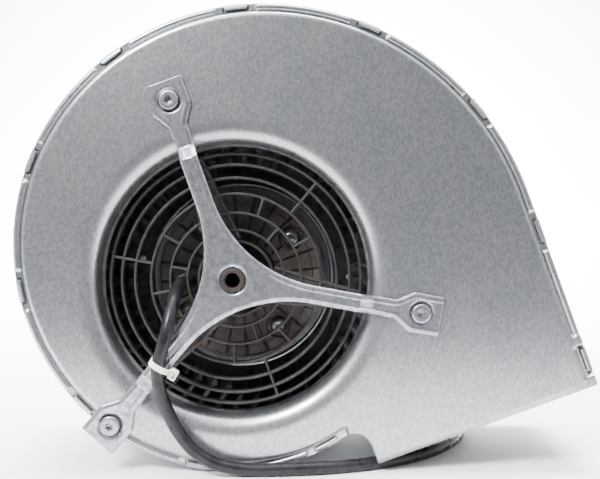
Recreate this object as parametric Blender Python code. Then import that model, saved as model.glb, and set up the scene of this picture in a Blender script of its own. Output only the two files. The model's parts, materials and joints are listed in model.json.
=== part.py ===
"""A single-inlet centrifugal blower for a boiler or stove: a galvanised scroll housing, a three-arm
bracket that carries an external-rotor motor in the inlet, and a forward-curved impeller.

The fan stands on the rim of its scroll with the inlet facing -Y, Z up, and the floor at z = 0.
The housing, motor and rotor are designed in a frame of their own, the fan frame: its origin is on the
shaft axis, midway between the side plates, y is the axis, and the outlet points straight down along
-z. The fan frame is then leaned over by LEAN, the way the scroll comes to rest.
"""

import math

import bmesh
import bpy
from mathutils import Vector, geometry

MM = 0.001
GAP = 0.3 * MM  # between pieces that touch

# Place of the fan frame
LEAN = math.radians(19.8)
AXIS_X = -38.5 * MM
AXIS_Y = 4.15 * MM  # the bush stands further out in front than the rear plate does behind
AXIS_Z = 103.9 * MM

# Scroll: radius of the band's outer face against the turn from the outlet side, in degrees
SCROLL_BASE = 98.6 * MM
SCROLL_GROWTH = 0.521 * MM
SCROLL_EASING = 0.00088 * MM
RAMP_CENTRE = 84.9
RAMP_WIDTH = 49.0
TONGUE_SWELL = 2.4 * MM  # the spiral bulges again towards the tongue, by this much at its start
SWELL_TURNS = (-15.5, 49.5)
WALL_TURN = 274.0  # where the spiral runs on into the straight wall
OUTLET_DROP = 119.5 * MM
TONGUE_X = 39.4 * MM
TONGUE_FILLET = 10.0 * MM
TONGUE_TRIM = 4.6 * MM  # the band's lip ends this far above the outlet edge
BAND_SHEET = 0.8 * MM
BAND_HALF = 48.7 * MM
PLATE_SHEET = 1.0 * MM
PLATE_FACE = 50.0 * MM  # outer face of both side plates
FLANGE_FACE = 47.6 * MM  # outer face of their stepped rim
FLANGE_WIDTH = 3.6 * MM
SHOULDER_WIDTH = 3.0 * MM
TABS = 11
TAB_LENGTH = 12.5 * MM
TAB_REACH = 3.8 * MM
TAB_FIRST = 33.1 * MM  # along the band from its lip
TAB_PITCH = 73.5 * MM
TAB_LAG = 4.8 * MM  # the middle tabs sit this much nearer to the lip

# Inlet and bracket
MOUTH_RADIUS = 84.0 * MM
THROAT_RADIUS = 74.3 * MM
ARM_ANGLES = (90.0, 210.0, 330.0)
ARM_HALF = 4.8 * MM
HUB_WAIST = 16.5 * MM
BRACKET_SHEET = 1.8 * MM
BRACKET_FRONT = -57.5 * MM
PAD_FRONT = -52.1 * MM
JOGGLE = (68.5 * MM, 75.8 * MM)
SCREW_CIRCLE = 102.2 * MM
SCREW_RADIUS = 2.4 * MM
SCREW_HOLE = 2.65 * MM
BORE_RADIUS = 3.9 * MM

# Guard
GUARD_RINGS = tuple(r * MM for r in (26.9, 36.4, 47.1, 56.0, 63.3, 69.5))
GUARD_RING_WALL = 1.6 * MM
GUARD_RIB = 1.5 * MM
GUARD_ARM_HALF = (9.8 * MM, 5.4 * MM)  # at the first ring and at the last
GUARD_TUBE = (19.8 * MM, 21.4 * MM)
GUARD_FRONT = -37.0 * MM
GUARD_BACK = -32.0 * MM
GUARD_RIB_OFFSETS = ((0.0,), (-21.0, 21.0), (0.0,), (0.0,), (0.0,))

# Motor
FLANGE_FRONT = -1.0 * MM
MOTOR_FLANGE_RADIUS = 50.0 * MM
MOTOR_SCREW_CIRCLE = 37.7 * MM
MOTOR_SCREW_START = 16.8
BEARING_STARTS = (5.0 * MM, 23.0 * MM)
BEARING_LENGTH = 7.0 * MM
SHAFT_RADIUS = 4.0 * MM
CAN_RADIUS = 56.0 * MM
CAN_END = 34.5 * MM
STATOR_TEETH = 18

# Impeller
BLADES = 46
BLADE_INNER = 74.5 * MM
BLADE_OUTER = 87.0 * MM
BLADE_SWEEP = 8.0  # degrees that a blade's tip leans forward
BLADE_SHEET = 1.1 * MM
IMPELLER_FRONT = -32.5 * MM
IMPELLER_BACK = 37.0 * MM
DISC_SHEET = 2.2 * MM
RIVET_CIRCLE = 30.0 * MM
BALANCE_PLACES = ((67.5 * MM, 152.0), (67.5 * MM, 338.0))

# Cable
CABLE_RADIUS = 3.5 * MM
CABLE_STEP = 14.0 * MM
GLAND_PLACE = (31.65 * MM, 166.0)
GLAND_TIP = -25.0 * MM
CABLE_ROUTE_MM = (
    (-70.0, -25.5, 100.8),
    (-70.0, -33.0, 100.8),
    (-70.1, -43.3, 98.0),
    (-70.5, -53.1, 91.1),
    (-71.8, -59.7, 81.2),
    (-74.4, -62.0, 69.6),
    (-76.9, -61.8, 58.9),
    (-76.4, -60.8, 48.0),
    (-73.2, -59.5, 37.3),
    (-67.0, -58.2, 24.6),
    (-58.6, -57.2, 14.0),
    (-46.0, -56.6, 6.5),
    (-30.0, -56.0, 3.65),
    (-14.0, -55.2, 3.55),
    (-2.0, -54.2, 3.55),
    (12.5, -51.6, 3.55),
    (26.0, -48.0, 3.55),
    (38.5, -43.4, 3.55),
    (56.5, -34.5, 3.55),
    (75.0, -19.0, 3.55),
    (91.0, 3.0, 3.55),
    (99.6, 27.0, 3.55),
    (98.4, 46.0, 3.55),
    (92.2, 62.4, 3.55),
    (84.5, 76.5, 3.55),
    (75.0, 93.6, 3.7),
    (67.7, 106.9, 4.0),
)
COIL_CENTRE = (22.0 * MM, 110.0 * MM)
COIL_RADIUS = 38.5 * MM
COIL_BOTTOM = 1.0 * MM
TAIL_ROUTE_MM = ((28.3, 64.6, 8.2), (33.5, 64.15, 6.6), (39.4, 64.1, 5.55), (45.3, 64.1, 5.2))

# Facets of turned pieces
MOUTH_ROUND = 48
ROUND = 32
BEARING_ROUND = 20
SMALL_ROUND = 12


# ---------------------------------------------------------------- materials and objects


def material(name, colour, roughness, metallic=0.0):
    """A Principled material, made once and shared by name."""
    made = bpy.data.materials.get(name) or bpy.data.materials.new(name)
    made.use_nodes = True
    shader = made.node_tree.nodes["Principled BSDF"]
    shader.inputs["Base Color"].default_value = (*colour, 1.0)
    shader.inputs["Roughness"].default_value = roughness
    shader.inputs["Metallic"].default_value = metallic
    made.diffuse_color = (*colour, 1.0)
    return made


def galvanised():
    return material("galvanised_steel", (0.56, 0.58, 0.61), 0.38, 0.9)


def zinc():
    return material("zinc_plated_steel", (0.66, 0.67, 0.69), 0.32, 0.9)


def black_plastic():
    return material("black_plastic", (0.018, 0.016, 0.016), 0.45)


def cast_metal():
    return material("cast_metal", (0.17, 0.15, 0.14), 0.55, 0.4)


def polished_steel():
    return material("polished_steel", (0.7, 0.7, 0.72), 0.22, 1.0)


def lamination_steel():
    return material("lamination_steel", (0.25, 0.25, 0.27), 0.5, 0.8)


def copper():
    return material("copper_winding", (0.62, 0.27, 0.12), 0.4, 0.7)


def cable_rubber():
    return material("cable_sheath", (0.035, 0.03, 0.035), 0.4)


def cream_nylon():
    return material("cream_nylon", (0.78, 0.75, 0.62), 0.45)


def as_object(name, bm, look, parent=None, crease=35.0):
    """Turns a closed bmesh into the named object, with its normals out and its round faces smooth."""
    bmesh.ops.remove_doubles(bm, verts=bm.verts, dist=1e-7)
    bmesh.ops.recalc_face_normals(bm, faces=bm.faces)
    mesh = bpy.data.meshes.new(name)
    bm.to_mesh(mesh)
    bm.free()
    mesh.shade_smooth()
    mesh.set_sharp_from_angle(angle=math.radians(crease))
    mesh.materials.append(look)
    made = bpy.data.objects.new(name, mesh)
    bpy.context.scene.collection.objects.link(made)
    made.parent = parent
    return made


def frame_empty(name, x=AXIS_X, z=AXIS_Z, lean=LEAN):
    """An empty for pieces to hang on, by default at the fan frame's place."""
    empty = bpy.data.objects.new(name, None)
    empty.location = (x, AXIS_Y, z)
    empty.rotation_euler = (0.0, -lean, 0.0)
    bpy.context.scene.collection.objects.link(empty)
    return empty


def combine(body, tool, operation):
    """Leaves a Boolean on body that cuts away or joins on the tool, which is hidden."""
    tool.hide_render = True
    tool.display_type = "WIRE"
    change = body.modifiers.new(operation.lower(), "BOOLEAN")
    change.operation = operation
    change.object = tool
    return body


# ---------------------------------------------------------------- shapes


def polar(radius, angle):
    """The (x, z) at an angle in degrees, counterclockwise from +x as seen from the inlet."""
    turn = math.radians(angle)
    return radius * math.cos(turn), radius * math.sin(turn)


def circle(radius, steps, centre=(0.0, 0.0)):
    return [
        (centre[0] + x, centre[1] + z)
        for x, z in (polar(radius, 360.0 * i / steps) for i in range(steps))
    ]


def bridge(bm, ring_a, ring_b, closed=True):
    """Quads between two rows of vertices."""
    count = len(ring_a)
    for i in range(count if closed else count - 1):
        j = (i + 1) % count
        corners = []
        for vert in (ring_a[i], ring_a[j], ring_b[j], ring_b[i]):
            if vert not in corners:
                corners.append(vert)
        if len(corners) > 2:
            bm.faces.new(corners)


def turned(name, profile, look, parent=None, steps=ROUND, centre=(0.0, 0.0)):
    """A closed profile of (radius, y) points turned about the y axis through centre."""
    bm = bmesh.new()
    rings = []
    for radius, y in profile:
        if radius < 1e-7:
            rings.append([bm.verts.new((centre[0], y, centre[1]))] * steps)
        else:
            rings.append([bm.verts.new((x, y, z)) for x, z in circle(radius, steps, centre)])
    for first, second in zip(rings, rings[1:] + rings[:1]):
        if first[0] is first[1] and second[0] is second[1]:
            continue
        bridge(bm, first, second)
    return as_object(name, bm, look, parent)


def ring_profile(inner, outer, y0, y1):
    return [(inner, y0), (outer, y0), (outer, y1), (inner, y1)]


def fill(bm, loops, y_of):
    """Triangles over a flat outline and its holes; each (x, z) point is lifted to y_of(x, z)."""
    flat = [[Vector((x, z, 0.0)) for x, z in loop] for loop in loops]
    verts = [bm.verts.new((p.x, y_of(p.x, p.y), p.y)) for loop in flat for p in loop]
    for corners in geometry.tessellate_polygon(flat):
        bm.faces.new([verts[i] for i in corners])
    return verts


def sheet(name, regions, y_of, thickness, look, parent=None):
    """Sheet metal of even thickness: outlines with holes, lifted to y_of and thickened towards +y."""
    bm = bmesh.new()
    for loops in regions:
        fill(bm, loops, y_of)
    bmesh.ops.remove_doubles(bm, verts=bm.verts, dist=1e-6)
    bmesh.ops.recalc_face_normals(bm, faces=bm.faces)
    copied = bmesh.ops.extrude_face_region(bm, geom=list(bm.faces), use_keep_orig=True)["geom"]
    moved = [item for item in copied if isinstance(item, bmesh.types.BMVert)]
    bmesh.ops.translate(bm, verts=moved, vec=(0.0, thickness, 0.0))
    return as_object(name, bm, look, parent)


def loft(name, sections, look, parent=None, closed=False):
    """Skins equal closed sections one after another; open lofts get flat ends."""
    bm = bmesh.new()
    rings = [[bm.verts.new(point) for point in section] for section in sections]
    for first, second in zip(rings, rings[1:] + rings[:1] if closed else rings[1:]):
        bridge(bm, first, second)
    if not closed:
        bm.faces.new(rings[0])
        bm.faces.new(rings[-1])
    return as_object(name, bm, look, parent)


def gathered(name, parts, look, parent=None):
    """Joins separate closed solids into one object, as a tool for a Boolean."""
    bm = bmesh.new()
    for part in parts:
        bm.from_mesh(part.data)
        bpy.data.objects.remove(part)
    return as_object(name, bm, look, parent)


def smooth_line(points, step):
    """Points about step apart on a smooth curve through the given points."""
    ends = [2 * points[0] - points[1], *points, 2 * points[-1] - points[-2]]
    dense = []
    for a, b, c, d in zip(ends, ends[1:], ends[2:], ends[3:]):
        for t in (i / 12 for i in range(12)):
            dense.append(
                0.5 * (2 * b + (c - a) * t + (2 * a - 5 * b + 4 * c - d) * t**2
                       + (3 * b - a - 3 * c + d) * t**3)
            )
    dense.append(points[-1])
    lengths = [0.0]
    for a, b in zip(dense, dense[1:]):
        lengths.append(lengths[-1] + (b - a).length)
    count = max(2, round(lengths[-1] / step))
    line = []
    i = 0
    for k in range(count + 1):
        want = lengths[-1] * k / count
        while i < len(dense) - 2 and lengths[i + 1] < want:
            i += 1
        share = (want - lengths[i]) / (lengths[i + 1] - lengths[i])
        line.append(dense[i].lerp(dense[i + 1], share))
    return line


def tube(name, route_mm, look, parent):
    """A round cable along a route in millimetres, with closed ends."""
    line = smooth_line([Vector(point) * MM for point in route_mm], CABLE_STEP)
    curve = bpy.data.curves.new(name, "CURVE")
    curve.dimensions = "3D"
    curve.bevel_depth = CABLE_RADIUS
    curve.bevel_resolution = 3
    curve.use_fill_caps = True
    spline = curve.splines.new("POLY")
    spline.points.add(len(line) - 1)
    for point, place in zip(spline.points, line):
        point.co = (*place, 1.0)
    curve.materials.append(look)
    made = bpy.data.objects.new(name, curve)
    bpy.context.scene.collection.objects.link(made)
    made.parent = parent
    return made


# ---------------------------------------------------------------- scroll outline


def scroll_radius(turn):
    """Radius of the band's outer face, turn degrees clockwise from straight down."""
    past = turn - RAMP_CENTRE
    ramp = (math.hypot(past, RAMP_WIDTH) + past) / 2
    start, end = SWELL_TURNS
    share = min(max((turn - start) / (end - start), 0.0), 1.0)
    swell = TONGUE_SWELL * (1.0 + math.cos(math.pi * share)) / 2
    return SCROLL_BASE + SCROLL_GROWTH * ramp - SCROLL_EASING * ramp**2 + swell


def scroll_line(trim=0.0):
    """The band's outer face from its lip, round the scroll, to the end of the straight wall."""
    lip_x = TONGUE_X - TONGUE_FILLET
    base = scroll_radius(SWELL_TURNS[0])
    lip_z = -math.sqrt((base + TONGUE_FILLET) ** 2 - lip_x**2)
    line = [(TONGUE_X, -OUTLET_DROP + trim)]
    sweep = math.degrees(math.atan2(-lip_z, -lip_x))
    for i in range(6):
        x, z = polar(TONGUE_FILLET, sweep * i / 5)
        line.append((lip_x + x, lip_z + z))
    first = -math.degrees(math.atan2(lip_x, -lip_z))
    steps = 60
    for i in range(1, steps + 1):
        turn = first + (WALL_TURN - first) * i / steps
        line.append(polar(scroll_radius(turn), 270.0 - turn))
    wall_x = line[-1][0]
    line.append((wall_x, (line[-1][1] - OUTLET_DROP) / 2))
    line.append((wall_x, -OUTLET_DROP))
    return line


def inset(line, distance):
    """The line moved inwards, which is to the right of its direction, with mitred corners."""
    normals = []
    for (x0, z0), (x1, z1) in zip(line, line[1:]):
        length = math.hypot(x1 - x0, z1 - z0)
        normals.append(((z1 - z0) / length, (x0 - x1) / length))
    moved = []
    for i, (x, z) in enumerate(line):
        before = normals[max(i - 1, 0)]
        after = normals[min(i, len(normals) - 1)]
        share = 1.0 + before[0] * after[0] + before[1] * after[1]
        moved.append((x + distance * (before[0] + after[0]) / share,
                      z + distance * (before[1] + after[1]) / share))
    return moved


def along(line, distance):
    """The point that far along a line, and the direction that points inwards there."""
    for (x0, z0), (x1, z1) in zip(line, line[1:]):
        length = math.hypot(x1 - x0, z1 - z0)
        if distance <= length:
            share = distance / length
            return ((x0 + share * (x1 - x0), z0 + share * (z1 - z0)),
                    ((z1 - z0) / length, (x0 - x1) / length))
        distance -= length
    raise ValueError("the line is shorter than that")


# ---------------------------------------------------------------- housing


def side_plate(name, side, mouth, parent):
    """A side plate with its stepped rim; mouth is the turned wall of its opening, front to back."""
    outline = scroll_line()
    edge = BAND_SHEET + GAP
    rows = [
        (inset(outline, edge), FLANGE_FACE),
        (inset(outline, edge + FLANGE_WIDTH), FLANGE_FACE),
        (inset(outline, edge + FLANGE_WIDTH + SHOULDER_WIDTH), PLATE_FACE),
    ]
    bm = bmesh.new()
    skins = []
    for depth in (0.0, PLATE_SHEET):
        rims = [[bm.verts.new((x, side * (y - depth), z)) for x, z in row] for row, y in rows[:2]]
        face_y = side * (PLATE_FACE - depth)
        loops = [rows[2][0]]
        if mouth:
            loops.append(circle(MOUTH_RADIUS, MOUTH_ROUND))
        verts = fill(bm, loops, lambda x, z, y=face_y: y)
        face_rim = verts[: len(rows[2][0])]
        bridge(bm, rims[0], rims[1], closed=False)
        bridge(bm, rims[1], face_rim, closed=False)
        skins.append((rims[0], rims[1], face_rim, verts[len(face_rim):]))
    (out_a, mid_a, in_a, hole_a), (out_b, mid_b, in_b, hole_b) = skins
    bridge(bm, out_a, out_b, closed=False)
    for k in (0, -1):
        bridge(bm, [out_a[k], mid_a[k], in_a[k]], [out_b[k], mid_b[k], in_b[k]], closed=False)
    bridge(bm, [in_a[-1], in_a[0]], [in_b[-1], in_b[0]], closed=False)
    if mouth:
        rings = [hole_a]
        for radius, y in mouth[1:-1]:
            rings.append([bm.verts.new((x, y, z)) for x, z in circle(radius, MOUTH_ROUND)])
        rings.append(hole_b)
        for first, second in zip(rings, rings[1:]):
            bridge(bm, first, second)
    return as_object(name, bm, galvanised(), parent)


def inlet_plate(parent):
    """The inlet-side plate, with its rolled mouth and the holes for the bracket screws."""
    outside = [
        (MOUTH_RADIUS, -50.0 * MM),
        (80.4 * MM, -48.9 * MM),
        (77.4 * MM, -49.9 * MM),
        (75.4 * MM, -49.0 * MM),
        (74.5 * MM, -45.0 * MM),
        (THROAT_RADIUS, -35.0 * MM),
    ]
    inside = [
        (THROAT_RADIUS + PLATE_SHEET, -35.0 * MM),
        (75.6 * MM, -45.0 * MM),
        (76.3 * MM, -48.1 * MM),
        (77.4 * MM, -48.8 * MM),
        (80.4 * MM, -47.8 * MM),
        (MOUTH_RADIUS, -49.0 * MM),
    ]
    plate = side_plate("inlet_plate", -1.0, outside + inside, parent)
    drills = []
    for angle in ARM_ANGLES:
        profile = [(0.0, -52.0 * MM), (SCREW_HOLE, -52.0 * MM), (SCREW_HOLE, -44.0 * MM), (0.0, -44.0 * MM)]
        centre = polar(SCREW_CIRCLE, angle)
        drills.append(turned("drill", profile, zinc(), steps=SMALL_ROUND, centre=centre))
    combine(plate, gathered("screw_hole_drills", drills, zinc(), parent), "DIFFERENCE")


def scroll_band(parent):
    """The band round the scroll, with the tabs that are bent over both side plates."""
    outer = scroll_line(TONGUE_TRIM)
    inner = inset(outer, BAND_SHEET)
    sections = []
    for (x0, z0), (x1, z1) in zip(outer, inner):
        sections.append([(x0, -BAND_HALF, z0), (x1, -BAND_HALF, z1),
                         (x1, BAND_HALF, z1), (x0, BAND_HALF, z0)])
    band = loft("scroll_band", sections, galvanised(), parent)
    tabs = []
    for side in (-1.0, 1.0):
        low, high = side * (FLANGE_FACE + 1.2 * MM), side * (FLANGE_FACE + 0.4 * MM)
        for k in range(TABS):
            lag = TAB_LAG * math.sin(math.pi * k / (TABS - 1)) ** 2
            start = TAB_FIRST + TAB_PITCH * k - lag - TAB_LENGTH / 2
            stations = []
            for i in range(3):
                (x, z), (nx, nz) = along(outer, start + TAB_LENGTH * i / 2)
                near = (x + 0.2 * MM * nx, z + 0.2 * MM * nz)
                far = (x + TAB_REACH * nx, z + TAB_REACH * nz)
                stations.append([(near[0], low, near[1]), (far[0], low, far[1]),
                                 (far[0], high, far[1]), (near[0], high, near[1])])
            tabs.append(loft("tab", stations, galvanised()))
    combine(band, gathered("band_tabs", tabs, galvanised(), parent), "UNION")


# ---------------------------------------------------------------- bracket and guard


def arm_point(angle, out, across):
    """The (x, z) of a point on an arm: out from the axis, and across it counterclockwise."""
    (x, z), (u, w) = polar(out, angle), polar(across, angle + 90.0)
    return x + u, z + w


def bracket_hub_outline():
    """The bracket's star up to the joggle: three arms joined by large fillets."""
    half = math.sin(math.radians(60.0))
    fillet = (HUB_WAIST * half - ARM_HALF) / (1.0 - half)
    reach = fillet + HUB_WAIST
    outline = []
    for angle in ARM_ANGLES:
        outline.append(arm_point(angle, JOGGLE[0], -ARM_HALF))
        outline.append(arm_point(angle, JOGGLE[0], ARM_HALF))
        cx, cz = polar(reach, angle + 60.0)
        start = angle - 90.0
        for i in range(13):
            x, z = polar(fillet, start - 60.0 * i / 12)
            outline.append((cx + x, cz + z))
    return outline


def motor_bracket(parent):
    """The pressed three-arm bracket: a raised hub, joggled arms and flat pads with screw holes."""
    regions = [[bracket_hub_outline(), circle(6.8 * MM, SMALL_ROUND)]]
    side = [(JOGGLE[1], ARM_HALF), (88.0 * MM, 5.05 * MM), (97.0 * MM, 10.8 * MM), (112.8 * MM, 10.8 * MM)]
    for angle in ARM_ANGLES:
        ramp = [(JOGGLE[0], -ARM_HALF), (JOGGLE[1], -ARM_HALF), (JOGGLE[1], ARM_HALF), (JOGGLE[0], ARM_HALF)]
        regions.append([[arm_point(angle, *point) for point in ramp]])
        pad = [arm_point(angle, out, -across) for out, across in side]
        pad += [arm_point(angle, out, across) for out, across in reversed(side)]
        regions.append([pad, circle(SCREW_HOLE, SMALL_ROUND, polar(SCREW_CIRCLE, angle))])

    def front(x, z):
        out = max(x * math.cos(math.radians(a)) + z * math.sin(math.radians(a)) for a in ARM_ANGLES)
        share = min(max((out - JOGGLE[0]) / (JOGGLE[1] - JOGGLE[0]), 0.0), 1.0)
        return BRACKET_FRONT + share * (PAD_FRONT - BRACKET_FRONT)

    sheet("motor_bracket", regions, front, BRACKET_SHEET, zinc(), parent)


def bracket_screws(parent):
    """Pan-head screws that cut their own thread in the inlet plate."""
    under = PAD_FRONT - GAP
    profile = [
        (0.0, under - 2.6 * MM),
        (3.6 * MM, under - 2.6 * MM),
        (5.1 * MM, under - 2.0 * MM),
        (5.65 * MM, under - 1.0 * MM),
        (5.65 * MM, under),
        (SCREW_RADIUS, under),
        (SCREW_RADIUS, -44.2 * MM),
        (1.2 * MM, -42.6 * MM),
        (0.0, -42.6 * MM),
    ]
    for number, angle in enumerate(ARM_ANGLES, 1):
        centre = polar(SCREW_CIRCLE, angle)
        turned(f"bracket_screw_{number}", profile, polished_steel(), parent, SMALL_ROUND, centre)


def hub_bush(parent):
    """The bush that clamps the motor's post in the bracket's hub."""
    profile = [
        (BORE_RADIUS, -58.3 * MM),
        (6.5 * MM, -58.3 * MM),
        (6.5 * MM, -55.4 * MM),
        (9.5 * MM, -55.4 * MM),
        (9.5 * MM, -52.0 * MM),
        (BORE_RADIUS, -52.0 * MM),
    ]
    turned("hub_bush", profile, cast_metal(), parent, BEARING_ROUND)


def guard_arm_half(radius):
    """Half the width of the guard's arm, which tapers outwards."""
    share = (radius - GUARD_RINGS[0]) / (GUARD_RINGS[-1] - GUARD_RINGS[0])
    return GUARD_ARM_HALF[0] + share * (GUARD_ARM_HALF[1] - GUARD_ARM_HALF[0])


def guard_window(inner, outer, start, start_half, end, end_half):
    """A window of the guard between two rings and two radial bars, given by half widths."""
    def edge(radius, angle, half, sign):
        return angle + sign * math.degrees(math.asin(half(radius) / radius))

    loop = []
    for radius, backwards in ((outer, False), (inner, True)):
        first = edge(radius, start, start_half, 1.0)
        last = edge(radius, end, end_half, -1.0)
        steps = max(2, round((last - first) / 12.0))
        arc = [polar(radius, first + (last - first) * i / steps) for i in range(steps + 1)]
        loop += arc[::-1] if backwards else arc
    return loop


def inlet_guard(parent):
    """The moulded guard: six rings on three arms and short ribs, with a tube down to the motor."""
    wall = GUARD_RING_WALL / 2

    def rib_half(radius):
        return GUARD_RIB / 2

    windows = [circle(GUARD_TUBE[0], ROUND)]
    for angle in ARM_ANGLES:
        windows.append(guard_window(GUARD_TUBE[1], GUARD_RINGS[0] - wall, angle, guard_arm_half,
                                    angle + 120.0, guard_arm_half))
    for gap, offsets in enumerate(GUARD_RIB_OFFSETS):
        inner, outer = GUARD_RINGS[gap] + wall, GUARD_RINGS[gap + 1] - wall
        for angle in ARM_ANGLES:
            bars = [(angle, guard_arm_half)]
            bars += [(angle + 60.0 + offset, rib_half) for offset in offsets]
            bars.append((angle + 120.0, guard_arm_half))
            for (start, start_half), (end, end_half) in zip(bars, bars[1:]):
                windows.append(guard_window(inner, outer, start, start_half, end, end_half))
    rim = circle(GUARD_RINGS[-1] + wall, MOUTH_ROUND)
    guard = sheet("inlet_guard", [[rim, *windows]], lambda x, z: GUARD_FRONT,
                  GUARD_BACK - GUARD_FRONT, black_plastic(), parent)
    foot = FLANGE_FRONT - GAP
    tube_wall = [
        (GUARD_TUBE[0] - 0.2 * MM, -36.5 * MM),
        (GUARD_TUBE[1] + 0.2 * MM, -36.5 * MM),
        (GUARD_TUBE[1] + 0.2 * MM, foot),
        (8.6 * MM, foot),
        (8.6 * MM, foot - 2.0 * MM),
        (GUARD_TUBE[0] - 0.2 * MM, foot - 2.0 * MM),
    ]
    combine(guard, turned("guard_tube", tube_wall, black_plastic(), parent), "UNION")


# ---------------------------------------------------------------- motor, fixed side


def motor_flange(parent):
    """The cast flange with its hollow post to the bracket and its bearing tube."""
    profile = [
        (BORE_RADIUS, -51.7 * MM),
        (8.0 * MM, -51.7 * MM),
        (8.0 * MM, FLANGE_FRONT),
        (MOTOR_FLANGE_RADIUS, FLANGE_FRONT),
        (MOTOR_FLANGE_RADIUS, 3.5 * MM),
        (13.4 * MM, 3.5 * MM),
        (13.4 * MM, 30.6 * MM),
        (11.3 * MM, 30.6 * MM),
        (11.3 * MM, 4.4 * MM),
        (BORE_RADIUS, 4.4 * MM),
    ]
    flange = turned("motor_flange", profile, cast_metal(), parent)
    drills = []
    for k in range(4):
        centre = polar(MOTOR_SCREW_CIRCLE, MOTOR_SCREW_START + 90.0 * k)
        hole = [(0.0, -2.0 * MM), (2.2 * MM, -2.0 * MM), (2.2 * MM, 5.0 * MM), (0.0, 5.0 * MM)]
        drills.append(turned("drill", hole, zinc(), steps=SMALL_ROUND, centre=centre))
    combine(flange, gathered("flange_drills", drills, zinc(), parent), "DIFFERENCE")


def motor_screws(parent):
    under = FLANGE_FRONT - GAP
    profile = [
        (0.0, under - 2.6 * MM),
        (3.2 * MM, under - 2.6 * MM),
        (4.3 * MM, under - 1.8 * MM),
        (4.5 * MM, under),
        (1.9 * MM, under),
        (1.9 * MM, 3.2 * MM),
        (0.0, 3.2 * MM),
    ]
    for k in range(4):
        centre = polar(MOTOR_SCREW_CIRCLE, MOTOR_SCREW_START + 90.0 * k)
        turned(f"motor_screw_{k + 1}", profile, polished_steel(), parent, SMALL_ROUND, centre)


def stator(parent):
    """The stator's lamination stack and the end turns of its winding."""
    outline = []
    pitch = 360.0 / STATOR_TEETH
    for k in range(STATOR_TEETH):
        angle = pitch * k
        outline += [polar(44.6 * MM, angle - 6.0), polar(44.6 * MM, angle), polar(44.6 * MM, angle + 6.0)]
        outline += [polar(28.0 * MM, angle + 6.5), polar(28.0 * MM, angle + pitch - 6.5)]
    bore = circle(13.9 * MM, ROUND)
    sheet("stator_core", [[outline, bore]], lambda x, z: 9.6 * MM, 17.8 * MM, lamination_steel(), parent)
    for name, low, high in (("stator_winding_front", 4.9, 9.2), ("stator_winding_rear", 27.8, 30.4)):
        middle = (low + high) / 2
        profile = [
            (17.0 * MM, middle * MM),
            (19.0 * MM, low * MM),
            (40.5 * MM, low * MM),
            (43.0 * MM, middle * MM),
            (40.5 * MM, high * MM),
            (19.0 * MM, high * MM),
        ]
        turned(name, profile, copper(), parent)


def bearings(fixed, turning):
    """Two ball bearings, each as its outer race, its ball cage and its inner race."""
    for place, start in zip(("front", "rear"), BEARING_STARTS):
        end = start + BEARING_LENGTH
        turned(f"bearing_outer_race_{place}", ring_profile(8.6 * MM, 11.0 * MM, start, end),
               polished_steel(), fixed, BEARING_ROUND)
        turned(f"bearing_ball_cage_{place}", ring_profile(6.5 * MM, 8.3 * MM, start + MM, end - MM),
               polished_steel(), turning, BEARING_ROUND)
        turned(f"bearing_inner_race_{place}", ring_profile(4.3 * MM, 6.2 * MM, start, end),
               polished_steel(), turning, BEARING_ROUND)


# ---------------------------------------------------------------- rotor


def rotor_shaft(parent):
    profile = [
        (0.0, 4.8 * MM),
        (3.6 * MM, 4.8 * MM),
        (SHAFT_RADIUS, 5.2 * MM),
        (SHAFT_RADIUS, 36.2 * MM),
        (3.6 * MM, 36.6 * MM),
        (0.0, 36.6 * MM),
    ]
    turned("rotor_shaft", profile, polished_steel(), parent, BEARING_ROUND)


def retaining_ring(parent):
    """The split ring that keeps the rear bearing on the shaft."""
    sections = []
    for i in range(13):
        angle = 25.0 + 310.0 * i / 12
        (x0, z0), (x1, z1) = polar(4.3 * MM, angle), polar(6.0 * MM, angle)
        sections.append([(x0, 30.4 * MM, z0), (x1, 30.4 * MM, z1), (x1, 31.3 * MM, z1), (x0, 31.3 * MM, z0)])
    loft("retaining_ring", sections, polished_steel(), parent)


def rivet_drills(name, parent):
    drills = []
    for angle in ARM_ANGLES:
        hole = [(0.0, 30.0 * MM), (2.5 * MM, 30.0 * MM), (2.5 * MM, 39.0 * MM), (0.0, 39.0 * MM)]
        drills.append(turned("drill", hole, zinc(), steps=SMALL_ROUND, centre=polar(RIVET_CIRCLE, angle)))
    return gathered(name, drills, zinc(), parent)


def rotor_can(parent):
    """The drawn steel can of the external rotor, open towards the flange."""
    profile = [
        (CAN_RADIUS - 1.5 * MM, 5.5 * MM),
        (CAN_RADIUS, 5.5 * MM),
        (CAN_RADIUS, CAN_END - 2.0 * MM),
        (CAN_RADIUS - 2.0 * MM, CAN_END),
        (SHAFT_RADIUS + GAP, CAN_END),
        (SHAFT_RADIUS + GAP, 31.7 * MM),
        (8.0 * MM, 31.7 * MM),
        (8.0 * MM, CAN_END - 1.5 * MM),
        (CAN_RADIUS - 2.6 * MM, CAN_END - 1.5 * MM),
        (CAN_RADIUS - 1.5 * MM, CAN_END - 2.6 * MM),
    ]
    can = turned("rotor_can", profile, polished_steel(), parent)
    combine(can, rivet_drills("can_drills", parent), "DIFFERENCE")


def rotor_cage(parent):
    turned("rotor_cage", ring_profile(45.2 * MM, 54.2 * MM, 9.0 * MM, 28.0 * MM),
           lamination_steel(), parent)


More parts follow.
